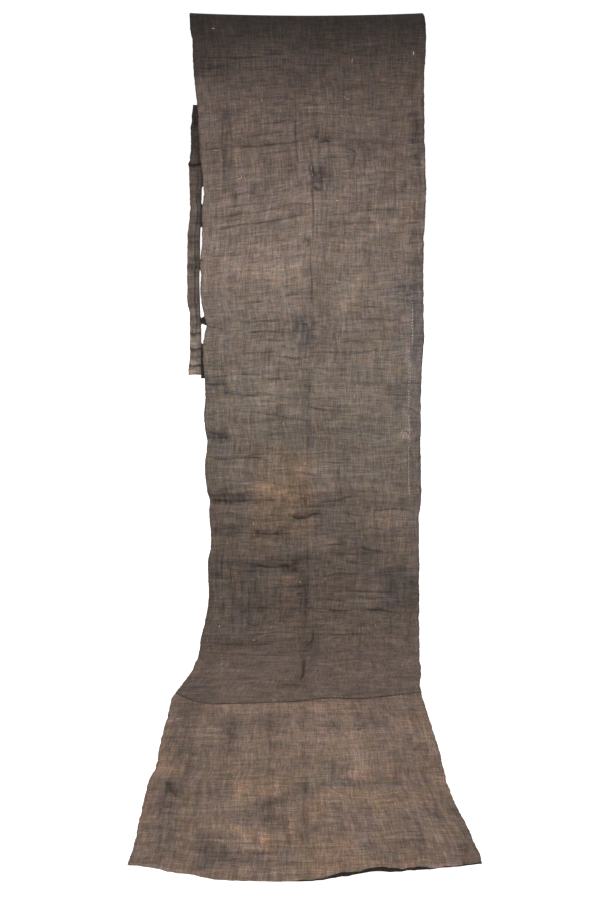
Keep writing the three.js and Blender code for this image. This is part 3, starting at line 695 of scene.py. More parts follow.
# Thick odd threads in the weave: across, run, length, along the warp or the weft, colour.
SLUBS = [
    (-203, 286, 11, "warp", "orange"),
    (-165, 282, 14, "warp", "orange"),
    (-329, 441, 13, "weft", "orange"),
    (142, 155, 14, "warp", "orange"),
    (-309, 58, 12, "weft", "orange"),
    (136, 696, 12, "warp", "orange"),
    (245, 1099, 27, "warp", "orange"),
    (179, 1152, 52, "weft", "orange"),
    (-284, 1241, 22, "weft", "orange"),
    (-21, 1550, 13, "warp", "red"),
    (274, 1889, 10, "warp", "orange"),
    (229, 2136, 10, "warp", "orange"),
    (269, 2539, 16, "warp", "red"),
    (319, 3066, 22, "warp", "red"),
    (95, 3150, 34, "weft", "orange"),
    (21, 3211, 30, "weft", "orange"),
    (48, 3245, 34, "weft", "orange"),
    (34, 3228, 20, "warp", "orange"),
    (62, 3222, 26, "weft", "red"),
    (-257, 533, 9, "weft", "pale"),
    (-250, 527, 8, "warp", "pale"),
    (-266, 538, 7, "warp", "tan"),
    (78, 606, 10, "weft", "pale"),
    (345, 136, 13, "warp", "pale"),
    (117, 270, 9, "warp", "tan"),
    (125, 276, 9, "weft", "tan"),
    (-8, 498, 16, "warp", "tan"),
    (-6, 520, 12, "warp", "tan"),
    (147, 1281, 8, "warp", "pale"),
    (-103, 1382, 9, "warp", "pale"),
    (-341, 1400, 8, "weft", "tan"),
    (-28, 1528, 13, "warp", "pale"),
    (42, 1500, 22, "warp", "tan"),
    (-223, 1753, 9, "warp", "pale"),
    (41, 1959, 8, "warp", "pale"),
    (-51, 1970, 8, "warp", "pale"),
    (-340, 2026, 13, "weft", "tan"),
    (-329, 2141, 9, "warp", "pale"),
    (-198, 2207, 12, "weft", "pale"),
    (11, 1917, 12, "warp", "tan"),
    (-250, 1573, 13, "weft", "tan"),
    (-352, 2766, 16, "weft", "pale"),
    (172, 2996, 14, "warp", "pale"),
    (317, 1408, 9, "warp", "grey"),
    (326, 1413, 11, "weft", "grey"),
    (333, 1420, 9, "warp", "grey"),
    (311, 1425, 8, "weft", "grey"),
    (322, 1428, 9, "warp", "grey"),
    (338, 1405, 10, "warp", "grey"),
    (340, 1428, 12, "warp", "grey"),
    (314, 1416, 7, "warp", "grey"),
    (328, 1402, 8, "weft", "grey"),
]


# ---------------------------------------------------------------- helpers
def smooth(a, b, v):
    t = np.clip((v - a) / (b - a), 0.0, 1.0)
    return t * t * (3.0 - 2.0 * t)


NOISE_TABLES = {}


def noise(x, y, cell_x, cell_y, seed):
    """Smooth seeded noise from -1 to 1 on a lattice of the given cells."""
    if seed not in NOISE_TABLES:
        NOISE_TABLES[seed] = np.random.default_rng(9000 + seed).random((512, 512)) * 2.0 - 1.0
    table = NOISE_TABLES[seed]
    gx, gy = np.asarray(x, float) / cell_x, np.asarray(y, float) / cell_y
    ix, iy = np.floor(gx).astype(np.int64), np.floor(gy).astype(np.int64)
    fx, fy = gx - ix, gy - iy
    fx, fy = fx * fx * (3 - 2 * fx), fy * fy * (3 - 2 * fy)
    a, b = ix % 512, (ix + 1) % 512
    c, d = iy % 512, (iy + 1) % 512
    low = table[a, c] * (1 - fx) + table[b, c] * fx
    high = table[a, d] * (1 - fx) + table[b, d] * fx
    return low * (1 - fy) + high * fy


def through(keys, values, at):
    """A smooth curve through a table."""
    at = np.asarray(at, float)
    last = len(keys) - 1
    i = np.clip(np.searchsorted(keys, at, side="left"), 1, last)
    i0, i1, i2, i3 = np.maximum(0, i - 2), i - 1, i, np.minimum(last, i + 1)
    h = keys[i2] - keys[i1]
    t = np.clip((at - keys[i1]) / h, 0.0, 1.0)
    m1 = (values[i2] - values[i0]) / (keys[i2] - keys[i0]) * h
    m2 = (values[i3] - values[i1]) / (keys[i3] - keys[i1]) * h
    a, b = t**3, t**2
    return (2 * a - 3 * b + 1) * values[i1] + (a - 2 * b + t) * m1 + (3 * b - 2 * a) * values[i2] + (a - b) * m2


def along(table, at):
    return through(table[:, 0], table[:, 1], at)


def cross_line(name, u):
    runs = np.array(CROSS_LINES[name], float)
    return through(np.linspace(0.0, 1.0, len(runs)), runs, u)


def back_left(run):
    left = through(BACK_EDGES[:, 0], BACK_EDGES[:, 1], run)
    for first, last, inset in OPEN_SEAM:
        inside = (run > first) & (run < last)
        bow = np.minimum(1.0, 2.6 * np.sin(np.pi * (run - first) / (last - first)))
        left = left + np.where(inside, inset * bow, 0.0)
    return left


def side_edges(run):
    front = np.maximum(run, 0.0)
    back = np.maximum(-run, 0.0)
    left = np.where(run >= 0, through(FRONT_EDGES[:, 0], FRONT_EDGES[:, 1], front), back_left(back))
    right = np.where(
        run >= 0,
        through(FRONT_EDGES[:, 0], FRONT_EDGES[:, 2], front),
        through(BACK_EDGES[:, 0], BACK_EDGES[:, 2], back),
    )
    return left, right


def profile(run):
    """The line that the middle of the cloth follows, seen from the side, and its outward direction."""
    floor = FLOOR + CLOTH / 2
    turn = run / MID_R
    sweep = np.clip((run - SWEEP_START) / SWEEP_R, 0.0, math.pi / 2)
    cases = [run < -QUARTER, run < QUARTER, run < SWEEP_START, run < SWEEP_END]
    flat = np.zeros_like(run)
    y = np.select(
        cases,
        [flat + MID_R, -MID_R * np.sin(turn), flat - MID_R, -MID_R - SWEEP_R * (1 - np.cos(sweep))],
        -MID_R - SWEEP_R - (run - SWEEP_END),
    )
    z = np.select(
        cases,
        [
            -FOLD_R + run + QUARTER,
            -FOLD_R + MID_R * np.cos(turn),
            -FOLD_R - (run - QUARTER),
            floor + SWEEP_R * (1 - np.sin(sweep)),
        ],
        flat + floor,
    )
    ny = np.select(cases, [flat + 1, -np.sin(turn), flat - 1, -np.cos(sweep)], flat)
    nz = np.select(cases, [flat, np.cos(turn), flat, np.sin(sweep)], flat + 1)
    return y, z, ny, nz


def line_field(points, half, a, r, fade=0.25):
    """1 on a line through the points, falling to 0 beside it and towards its ends."""
    lengths = [math.hypot(q[0] - p[0], q[1] - p[1]) for p, q in zip(points, points[1:])]
    total = sum(lengths)
    reach = 3.2 * half
    low_a, high_a = min(p[0] for p in points) - reach, max(p[0] for p in points) + reach
    low_r, high_r = min(p[1] for p in points) - reach, max(p[1] for p in points) + reach
    out = np.zeros(a.shape)
    near = (a > low_a) & (a < high_a) & (r > low_r) & (r < high_r)
    if not near.any():
        return out
    an, rn = a[near], r[near]
    best = np.full(an.shape, 1e12)
    place = np.zeros(an.shape)
    done = 0.0
    for (p, q), length in zip(zip(points, points[1:]), lengths):
        da, dr = q[0] - p[0], q[1] - p[1]
        t = np.clip(((an - p[0]) * da + (rn - p[1]) * dr) / length**2, 0.0, 1.0)
        d2 = (an - p[0] - t * da) ** 2 + (rn - p[1] - t * dr) ** 2
        closer = d2 < best
        best = np.where(closer, d2, best)
        place = np.where(closer, done + t * length, place)
        done += length
    ends = max(fade * total, 1.0)
    taper = smooth(-0.35 * ends, ends, place) * smooth(-0.35 * ends, ends, total - place)
    out[near] = np.exp(-best / half**2) * taper
    return out


# Small wrinkles between the creases, short and mostly across the cloth.
rng = np.random.default_rng(4417)
WRINKLES = []
for _ in range(150):
    middle_a, middle_r = rng.uniform(-370, 370), rng.uniform(90, 2560)
    span = rng.uniform(22, 95)
    tilt = rng.normal(0, 0.07) + (-0.10 if middle_a < 0 and middle_r < 1100 else 0.0)
    bend = rng.normal(0, 4)
    WRINKLES.append(
        (
            [
                (middle_a - span, middle_r - tilt * span),
                (middle_a, middle_r + bend),
                (middle_a + span, middle_r + tilt * span),
            ],
            rng.uniform(4.0, 7.0),
            -rng.uniform(0.3, 0.9),
            rng.uniform(0.0, 0.24),
        )
    )
for _ in range(60):
    middle_a, middle_r = rng.uniform(-370, 350), rng.uniform(2700, 3440)
    span = rng.uniform(25, 90)
    tilt = rng.normal(0, 0.25)
    if rng.random() < 0.5:
        ends = [(middle_a - tilt * span, middle_r - span), (middle_a + tilt * span, middle_r + span)]
    else:
        ends = [(middle_a - span, middle_r - tilt * span), (middle_a + span, middle_r + tilt * span)]
    WRINKLES.append((ends, rng.uniform(5.0, 8.0), rng.uniform(0.4, 1.2), rng.uniform(0.0, 0.22)))
# Finer ones, some painted dark as crease shade and some paler as ridge highlight, close together on the sweep.
for count, low, high in ((130, 150, 2100), (70, 2100, 2600)):
    for _ in range(count):
        middle_a, middle_r = rng.uniform(-370, 370), rng.uniform(low, high)
        span = rng.uniform(18, 75)
        tilt = rng.normal(0, 0.06) + (-0.12 if middle_a < 0 and middle_r < 1100 else 0.0)
        dark = rng.uniform(0.12, 0.42) if rng.random() < 0.62 else -rng.uniform(0.15, 0.4)
        WRINKLES.append(
            (
                [
                    (middle_a - span, middle_r - tilt * span),
                    (middle_a, middle_r + rng.normal(0, 3)),
                    (middle_a + span, middle_r + tilt * span),
                ],
                rng.uniform(3.4, 5.0),
                -math.copysign(rng.uniform(0.3, 0.7), dark),
                dark,
            )
        )


def wander(across, run):
    """Where creases and stains are looked up, so that their lines are not straight."""
    return (
        across + 2.2 * noise(across, run, 70, 45, 11),
        run + 2.6 * noise(across, run, 62, 90, 12) + 1.1 * noise(across, run, 15, 40, 13),
    )


def fine_relief(across, run):
    a, r = wander(across, run)
    d = np.zeros(across.shape)
    for points, half, rise, _ in CREASES + WRINKLES:
        d += 1.25 * rise * line_field(points, half, a, r)
    ripple = 0.55 * noise(across, run, 75, 16, 21) + 0.40 * noise(across, run, 34, 11, 22) + 0.7 * noise(across, run, 140, 48, 23)
    upright = 0.35 * noise(across, run, 13, 80, 24)
    return d + ripple + upright


def relief(across, run):
    """How far the cloth stands out from its profile."""
    u = across / WIDE + 0.5
    back = np.maximum(-run, 0.0)
    inward, fade = smooth(0.0, 0.16, u), smooth(60, 220, back)
    behind = inward * fade * (
        3.2 * np.sin(back / 118 + 2.2 * u) * np.sin(3.4 * u + 0.4) + 2.4 * np.sin(7 * u + back / 260)
    )
    behind = behind + fade * inward * (
        1.0 * noise(across, run, 60, 26, 31) + 0.6 * noise(across, run, 26, 14, 32)
    )
    hanging = 1 - smooth(SWEEP_START, SWEEP_END, run)
    d = np.zeros(run.shape)
    for a0, r0, a1, r1, half, rise in FOLDS:
        da, dr = a1 - a0, r1 - r0
        length = math.hypot(da, dr)
        place = ((across - a0) * da + (run - r0) * dr) / length
        off = ((across - a0) * dr - (run - r0) * da) / length
        past = np.maximum(0.0, np.maximum(-place, place - length)) / (1.4 * half)
        d += rise * np.exp(-((off / half) ** 2) - past**2)
    slow = sum(
        height * np.sin(2 * np.pi * run / length + shift + lean * (u - 0.5) * np.pi)
        for length, shift, lean, height in SLOW_WAVES
    )
    d += hanging * (slow - EDGE_CURL * np.abs(2 * u - 1) ** 5)
    d += fine_relief(across, run)
    d *= smooth(45, 200, run) * 0.92 + smooth(2, 45, run) * 0.08
    # On the floor the cloth only stands up, never down.
    up = 1 - hanging
    d = d + up * 0.9
    low = 0.5 * (d + np.sqrt(d * d + 2.5)) - 0.79
    d = d * (1 - up) + np.maximum(0.0, low) * up
    hem = cross_line("front_hem", u)
    lift = along(HEM_LIFT, np.clip(across, -385, 385))
    turned = smooth(hem - HEM_TURN, hem - 0.3, run)
    d = d * (1 - turned) + np.where(
        run > hem - HEM_LIFT_BACK,
        lift * smooth(hem - HEM_LIFT_BACK, hem - HEM_TURN - 20, run) * (1 - turned),
        0.0,
    )
    return np.where(run < 0, behind, d)


def cloth_point(u, run, lift):
    """Points on the middle of the cloth."""
    left, right = side_edges(run)
    x = left + (right - left) * u
    # Worn edges.
    ragged_left = 1.3 * noise(run, run * 0, 24, 1, 41) + 0.8 * noise(run, run * 0, 7, 1, 42)
    ragged_right = 1.3 * noise(run, run * 0, 27, 1, 43) + 0.8 * noise(run, run * 0, 8, 1, 44)
    x = x + ragged_left * smooth(0.035, 0.0, u) + ragged_right * smooth(0.965, 1.0, u)
    y, z, ny, nz = profile(run)
    across = (u - 0.5) * WIDE
    seam = cross_line("floor_seam", u)
    flat = smooth(LAP + 6, LAP + 60, np.abs(run - seam + LAP / 2))
    d = relief(across, run) * flat + lift
    sag = SAG * (x / 390) ** 2 * (1 - smooth(0, SAG_FADE, np.abs(run)))
    return np.stack([x, y + ny * d, z + nz * d + sag], axis=-1)


def lift_at(panel, u, run):
    lift = np.zeros(run.shape)
    if "end" in panel["over"]:
        b = cross_line(panel["end"], u)
        lift += LAP_LIFT * smooth(b - LAP - RAMP, b - LAP, run)
    if "start" in panel["over"]:
        a = cross_line(panel["start"], u)
        lift += LAP_LIFT * (1 - smooth(a + LAP, a + LAP + RAMP, run))
    return lift


def thickness(u, run, panel=None):
    """One layer, the turned hems at the edges, and the thinner cut ends of laps."""
    left, right = side_edges(run)
    from_left, from_right = u * (right - left), (1 - u) * (right - left)
    t = np.full(run.shape, SHEET)
    t += 0.5 * (1 - smooth(9, 12, from_left))
    wide = smooth(120, 260, run) * (1 - smooth(1900, 2100, run))
    t += 0.5 * (1 - smooth(37, 40, from_right)) * wide + 0.5 * (1 - smooth(9, 12, from_right)) * (1 - wide)
    hem = cross_line("front_hem", u)
    t += np.where(run > 3000, 0.7 * (1 - smooth(10, 14, hem - run)), 0.0)
    t += np.where(run < -1000, 0.6 * (1 - smooth(10, 14, run - cross_line("back_hem", u))), 0.0)
    if panel is not None and "end" in panel["over"]:
        thin = 0.3 if panel["end"] == "floor_seam" else 0.65
        t -= thin * (1 - smooth(0, 7, cross_line(panel["end"], u) - run))
    return np.maximum(t, 0.4)


# ---------------------------------------------------------------- colour of the cloth
def weft_run(across, run):
    """Run as the weft threads see it: on the upper left they are pulled up towards the middle."""
    pull = smooth(150, 480, run) * (1 - 0.55 * smooth(780, 1000, run)) * (1 - smooth(1150, 1450, run))
    wave = 2.6 * noise(across, run, 130, 170, 57) + 1.2 * noise(across, run, 45, 120, 58)
    return run + 0.135 * np.minimum(across, 0.0) * pull + 0.02 * np.maximum(across, 0.0) * pull + wave


def warp_across(across, run):
    """Across as the warp threads see it."""
    return across + 2.2 * noise(across, run, 150, 140, 59) + 0.9 * noise(across, run, 110, 40, 60)


def cast(run):
    """The dye's cast: shares of red, green and blue of about the same lightness."""
    at = np.clip(run, CAST[0, 0], CAST[-1, 0])
    red, blue = through(CAST[:, 0], CAST[:, 1], at), through(CAST[:, 0], CAST[:, 2], at)
    return red, 1.0 - 0.33 * (red - 1.0), blue


def marks(panel_number, across, run, u):
    """Tone, warmth, coolness, and dirt and painted shade of each point. The tone holds painted shade at the fold and
    on the sweep, and painted highlight on ridges.
    """
    a, r = wander(across, run)
    if panel_number == 5:
        tone = along(TONE_END, run)
    else:
        tone = np.where(run < -60, along(TONE_AND_SHADE_BACK, np.minimum(run, -60)), along(TONE_AND_SHADE_FRONT, np.clip(run, -60, 2640)))
    warm = np.full(run.shape, 0.125 if panel_number == 5 else 0.0)
    cool = np.zeros(run.shape)
    # Dye and stains creep along the threads, so their edges are ragged and square.
    creep_a = 9 * noise(across, run, 70, 5.5, 51) + 6 * noise(across, run, 160, 14, 52)
    creep_r = 9 * noise(across, run, 5.5, 70, 53) + 6 * noise(across, run, 14, 160, 54)
    patchy = 0.85 + 0.35 * noise(across, run, 22, 22, 55) + 0.2 * noise(across, run, 9, 9, 56)
    patchy = patchy + 0.4 * noise(across, run, 60, 5.0, 57) + 0.4 * noise(across, run, 5.0, 60, 58)
    if panel_number > 0:
        for sa, sr, half_a, half_r, dt, dw, dc in STAINS:
            if panel_number == 5 and sr < 2640 or panel_number != 5 and sr > 2640:
                continue
            soft_a, soft_r = max(5.0, 0.5 * half_a), max(5.0, 0.5 * half_r)
            loose_a, loose_r = min(1.0, 0.25 + half_a / 35.0), min(1.0, 0.25 + half_r / 35.0)
            m = (1 - smooth(half_a - soft_a * 0.5, half_a + soft_a, np.abs(a + loose_a * creep_a - sa))) * (
                1 - smooth(half_r - soft_r * 0.5, half_r + soft_r, np.abs(r + loose_r * creep_r - sr))
            )
            m = m * patchy * (0.86 if panel_number == 5 else 1.0)
            tone = tone + dt * m
            warm = warm + dw * m * (0.75 if panel_number == 5 else 1.0)
            cool = cool + dc * m
    # Uneven dye: blotches, and streaks of single warp and weft threads.
    shift = panel_number * 977.0
    wa, wr = warp_across(across, run) + shift, weft_run(across, run)
    tone = tone * (
        1.0
        + 0.042 * noise(wa, wr, 85, 70, 61)
        + 0.036 * noise(wa, wr, 30, 26, 62)
        + 0.040 * noise(wa, wr, 9, 95, 63)
        + 0.042 * noise(wa, wr, 105, 8, 64)
        + 0.030 * noise(wa, wr, 5.5, 38, 65)
        + 0.034 * noise(wa, wr, 42, 5, 66)
        + 0.020 * noise(wa, wr, 12, 11, 67)
    )
    warm = warm + 0.22 * np.maximum(0, noise(wa, wr, 60, 40, 71)) + 0.12 * noise(wa, wr, 18, 90, 72)
    cool = cool + 0.22 * np.maximum(0, noise(wa, wr, 75, 60, 73)) + 0.10 * noise(wa, wr, 90, 16, 74)
    # Dark crease lines are painted shade and pale ridges painted highlight; dirt along the side edges joins the same
    # channel.
    dirt_and_shade = np.zeros(run.shape)
    if panel_number > 0:
        uneven = 0.75 + 0.45 * noise(across, run, 30, 30, 81)
        ridge_highlight = np.zeros(run.shape)
        for points, half, rise, dark in CREASES + WRINKLES:
            if dark > 0:
                dirt_and_shade = np.maximum(dirt_and_shade, dark * line_field(points, 0.58 * half, a, r))
            else:
                ridge_highlight = np.maximum(ridge_highlight, -dark * line_field(points, 0.7 * half, a, r))
        dirt_and_shade = dirt_and_shade * uneven * (0.5 if panel_number == 5 else 1.0)
        tone = tone * (1 + 0.36 * ridge_highlight * uneven)
    left, right = side_edges(run)
    from_left, from_right = u * (right - left), (1 - u) * (right - left)
    frayed = 0.32 - 0.16 * smooth(1900, 2500, run)
    dirt_and_shade = np.maximum(dirt_and_shade, frayed * np.exp(-((from_left / 4.5) ** 2)))
    # The back fall's left edge, seen through the openings of the band's seam, is painted dark as shade behind the
    # front fall.
    if panel_number == 0:
        dirt_and_shade = np.maximum(dirt_and_shade, 0.85 * (1 - smooth(16, 40, from_left)))
    dirt_and_shade = np.maximum(dirt_and_shade, frayed * np.exp(-((from_right / 4.5) ** 2)))
    # The strip of the right-hand hem is a little darker and greyer.
    strip = (1 - smooth(36, 42, from_right)) * smooth(820, 960, run) * (1 - smooth(1600, 1800, run))
    tone = tone * (1 - 0.05 * strip)
    cool = cool + 0.35 * strip
    return np.stack(
        [np.clip(tone / 255.0, 0.02, 1), np.clip(warm, 0, 1), np.clip(cool, 0, 1), np.clip(dirt_and_shade, 0, 1), *cast(run)], axis=-1
    )


# ---------------------------------------------------------------- materials
def srgb_to_linear(c):
    return tuple((v / 255.0) ** 2.2 for v in c)


class Tree:
    """Short ways to add nodes to a material."""

    def __init__(self, material):
        material.use_nodes = True
        self.nodes, self.links = material.node_tree.nodes, material.node_tree.links
        self.nodes.clear()

    def put(self, socket, value):
        if isinstance(value, bpy.types.NodeSocket):
            self.links.new(value, socket)
        else:
            socket.default_value = value

    def math(self, operation, *values, clamp=False):
        n = self.nodes.new("ShaderNodeMath")
        n.operation, n.use_clamp = operation, clamp
        for socket, value in zip(n.inputs, values):
            self.put(socket, value)
        return n.outputs[0]

    def vector(self, operation, *values):
        n = self.nodes.new("ShaderNodeVectorMath")
        n.operation = operation
        for socket, value in zip(n.inputs, values):
            self.put(socket, value)
        return n.outputs[0]

    def scale(self, vector, factor):
        n = self.nodes.new("ShaderNodeVectorMath")
        n.operation = "SCALE"
        self.put(n.inputs[0], vector)
        self.put(n.inputs[3], factor)
        return n.outputs[0]

    def noise(self, vector, stretch, detail=1.0, rough=0.5):
        n = self.nodes.new("ShaderNodeTexNoise")
        n.noise_dimensions = "3D"
        self.put(n.inputs["Vector"], self.vector("MULTIPLY", vector, stretch))
        n.inputs["Scale"].default_value = 1.0
        n.inputs["Detail"].default_value = detail
        n.inputs["Roughness"].default_value = rough
        return n.outputs[0]

    def around(self, value, gain):
        """Noise moved to lie around 0."""
        return self.math("MULTIPLY", self.math("SUBTRACT", value, 0.5), gain)

    def add(self, *values):
        out = values[0]
        for v in values[1:]:
            out = self.math("ADD", out, v)
        return out

    def range(self, value, low, high, to_low=0.0, to_high=1.0):
        n = self.nodes.new("ShaderNodeMapRange")
        n.interpolation_type = "SMOOTHSTEP"
        self.put(n.inputs[0], value)
        for i, v in enumerate((low, high, to_low, to_high)):
            n.inputs[i + 1].default_value = v
        return n.outputs[0]

    def mix(self, factor, a, b):
        n = self.nodes.new("ShaderNodeMix")
        n.data_type = "VECTOR"
        self.put(n.inputs["Factor"], factor)
        self.put(n.inputs[4], a)
        self.put(n.inputs[5], b)
        return n.outputs[1]


PITCH = 0.00125  # one thread
# Tints as multiples of a grey of the same lightness.
GREY_BROWN = (1.225, 0.94, 0.775)
TAN = (1.43, 0.915, 0.575)
BLUE_GREY = (1.135, 0.96, 0.915)


def raffia(name, contrast=1.0, flecks=1.0, faded=0.0):
    material = bpy.data.materials.new(name)
    t = Tree(material)
    place = t.nodes.new("ShaderNodeAttribute")
    place.attribute_name = "weave"
    at = place.outputs["Vector"]
    mark = t.nodes.new("ShaderNodeAttribute")
    mark.attribute_name = "marks"
    split = t.nodes.new("ShaderNodeSeparateColor")
    t.links.new(mark.outputs["Color"], split.inputs[0])
    tone, warm, cool = split.outputs[0], split.outputs[1], split.outputs[2]
    dirt_and_shade = mark.outputs["Alpha"]
    dye = t.nodes.new("ShaderNodeAttribute")
    dye.attribute_name = "cast"
    # Threads: each one has its own shade along its length.
    warp = t.add(
        t.around(t.noise(at, (760.0, 44.0, 3.1), 1.0), 0.72 * contrast),
        t.around(t.noise(at, (230.0, 22.0, 5.3), 2.0), 0.78 * contrast),
        t.around(t.noise(at, (70.0, 6.0, 7.7), 2.0), 0.27 * contrast),
    )
    weft = t.add(
        t.around(t.noise(at, (44.0, 760.0, 9.1), 1.0), 0.72 * contrast),
        t.around(t.noise(at, (22.0, 230.0, 2.3), 2.0), 0.78 * contrast),
        t.around(t.noise(at, (6.0, 70.0, 4.7), 2.0), 0.27 * contrast),
    )
    # Plain weave, with threads that are not quite straight.
    parts = t.nodes.new("ShaderNodeSeparateXYZ")
    t.links.new(at, parts.inputs[0])
    sway = t.around(t.noise(at, (40.0, 25.0, 1.7), 2.0), 5.0)
    sway_too = t.around(t.noise(at, (25.0, 40.0, 6.1), 2.0), 5.0)
    su = t.math("SINE", t.math("ADD", t.math("MULTIPLY", parts.outputs[0], math.pi / PITCH), sway))
    sv = t.math("SINE", t.math("ADD", t.math("MULTIPLY", parts.outputs[1], math.pi / PITCH), sway_too))
    product = t.math("MULTIPLY", su, sv)
    on_top = t.range(product, -0.25, 0.25)
    crown_height_and_shade = t.math("POWER", t.math("ABSOLUTE", product), 0.6)
    threads = t.add(t.math("MULTIPLY", on_top, warp), t.math("MULTIPLY", t.math("SUBTRACT", 1.0, on_top), weft))
    both = t.math("MULTIPLY", t.add(warp, weft), 0.5)
    threads = t.add(t.math("MULTIPLY", threads, 0.55), t.math("MULTIPLY", both, 0.75))
    speck = t.around(t.noise(at, (330.0, 330.0, 8.3), 2.0, 0.6), 0.55 * contrast)
    blotch = t.around(t.noise(at, (26.0, 22.0, 3.9), 4.0, 0.6), 0.22 * contrast)
    shade = t.add(1.0, threads, speck, blotch)
    # Thread crowns are painted lighter and the hollows between them darker, as shade in the weave; the crowns also
    # raise the bump.
    shade = t.math("MULTIPLY", shade, t.math("MULTIPLY_ADD", crown_height_and_shade, 0.34, 0.82))
    # The fourth channel of marks darkens it: painted shade in creases, under lap edges, on the back fall's left edge
    # and along the band's crease and ribs, and dirt along the side edges.
    shade = t.math("MULTIPLY", shade, t.math("MULTIPLY_ADD", dirt_and_shade, -0.60, 1.0))
    # Odd threads of undyed fibre.
    odd_warp = t.range(t.noise(at, (520.0, 42.0, 12.3), 1.0), 0.70, 0.78)
    odd_weft = t.range(t.noise(at, (42.0, 520.0, 15.1), 1.0), 0.70, 0.78)
    odd = t.math("MULTIPLY", t.math("MAXIMUM", odd_warp, odd_weft), flecks)
    light = t.math("MULTIPLY", tone, t.math("MAXIMUM", shade, 0.25))
    light = t.add(light, t.math("MULTIPLY", odd, 0.10))
    linear = t.math("POWER", light, 2.2)
    warm_now = t.add(
        warm,
        t.math("MULTIPLY", odd, 0.45),
        t.around(t.noise(at, (60.0, 14.0, 4.1), 3.0, 0.6), 0.55),
        t.around(t.noise(at, (14.0, 60.0, 2.9), 3.0, 0.6), 0.45),
    )
    warm_now = t.math("MAXIMUM", t.math("MINIMUM", warm_now, 1.0), 0.0)
    cool_now = t.add(cool, t.around(t.noise(at, (20.0, 30.0, 6.7), 3.0, 0.6), 0.6))
    cool_now = t.math("MAXIMUM", t.math("MINIMUM", cool_now, 1.0), 0.0)
    tint = t.mix(cool_now, GREY_BROWN, BLUE_GREY)
    tint = t.mix(t.math("MULTIPLY", warm_now, 0.8), tint, TAN)
    # Single threads and small patches are redder, more olive or more violet than others.
    ruddy = t.add(
        t.around(t.noise(at, (95.0, 20.0, 21.0), 1.0), 0.19),
        t.around(t.noise(at, (20.0, 95.0, 23.0), 1.0), 0.19),
        t.around(t.noise(at, (26.0, 20.0, 25.0), 2.0, 0.6), 0.11),
    )
    olive = t.add(
        t.around(t.noise(at, (95.0, 20.0, 31.0), 1.0), 0.27),
        t.around(t.noise(at, (20.0, 95.0, 33.0), 1.0), 0.27),
        t.around(t.noise(at, (24.0, 18.0, 35.0), 2.0, 0.6), 0.28),
    )
    hue = t.nodes.new("ShaderNodeCombineXYZ")
    t.put(hue.inputs[0], t.math("ADD", ruddy, 1.0))
    t.put(hue.inputs[1], t.math("MULTIPLY_ADD", ruddy, -0.35, 1.0))
    # Where the dye has faded, paler threads are yellower.
    t.put(hue.inputs[2], t.math("SUBTRACT", 1.0, t.add(olive, t.math("MULTIPLY", t.add(threads, blotch), faded))))
    tint = t.vector("MULTIPLY", t.vector("MULTIPLY", tint, hue.outputs[0]), dye.outputs["Vector"])
    colour = t.scale(tint, linear)
    shader = t.nodes.new("ShaderNodeBsdfPrincipled")
    t.links.new(colour, shader.inputs["Base Color"])
    shader.inputs["Specular IOR Level"].default_value = 0.22
    shader.inputs["Sheen Weight"].default_value = 0.03
    shader.inputs["Sheen Roughness"].default_value = 0.6
    t.links.new(t.math("MULTIPLY_ADD", threads, -0.25, 0.84, clamp=True), shader.inputs["Roughness"])
    height = t.add(t.math("MULTIPLY", crown_height_and_shade, 0.55), t.math("MULTIPLY", both, 0.9), t.math("MULTIPLY", speck, 0.5))
    bump = t.nodes.new("ShaderNodeBump")
    bump.inputs["Strength"].default_value = 0.55
    bump.inputs["Distance"].default_value = 0.0007
    t.links.new(height, bump.inputs["Height"])
    t.links.new(bump.outputs[0], shader.inputs["Normal"])
    out = t.nodes.new("ShaderNodeOutputMaterial")
    t.links.new(shader.outputs[0], out.inputs[0])
    return material


def thread_material(name, colour, spread=0.35):
    """Twisted fibre: a strand's shade changes along it."""
    material = bpy.data.materials.new(name)
    t = Tree(material)
    place = t.nodes.new("ShaderNodeAttribute")
    place.attribute_name = "weave"
    at = place.outputs["Vector"]
    shade = t.add(
        1.0,
        t.around(t.noise(at, (900.0, 300.0, 3.0), 2.0), spread),
        t.around(t.noise(at, (60.0, 60.0, 1.0), 2.0), 1.4 * spread),
    )
    base = t.scale(srgb_to_linear(colour), t.math("MAXIMUM", shade, 0.2))
    shader = t.nodes.new("ShaderNodeBsdfPrincipled")
    t.links.new(base, shader.inputs["Base Color"])
    shader.inputs["Roughness"].default_value = 0.8
    shader.inputs["Specular IOR Level"].default_value = 0.25
    bump = t.nodes.new("ShaderNodeBump")
    bump.inputs["Strength"].default_value = 0.5
    bump.inputs["Distance"].default_value = 0.0003
    t.links.new(t.noise(at, (1800.0, 500.0, 3.0), 2.0), bump.inputs["Height"])
    t.links.new(bump.outputs[0], shader.inputs["Normal"])
    out = t.nodes.new("ShaderNodeOutputMaterial")
    t.links.new(shader.outputs[0], out.inputs[0])
    return material


MATERIALS = {
    "raffia_top": raffia("raffia_top", 1.0, 0.8, 0.42),
    "raffia_front": raffia("raffia_front", 1.0, 0.9),
    "raffia_end": raffia("raffia_end", 1.06, 1.0, 0.15),
    "raffia_back": raffia("raffia_back", 1.0, 0.6),
}


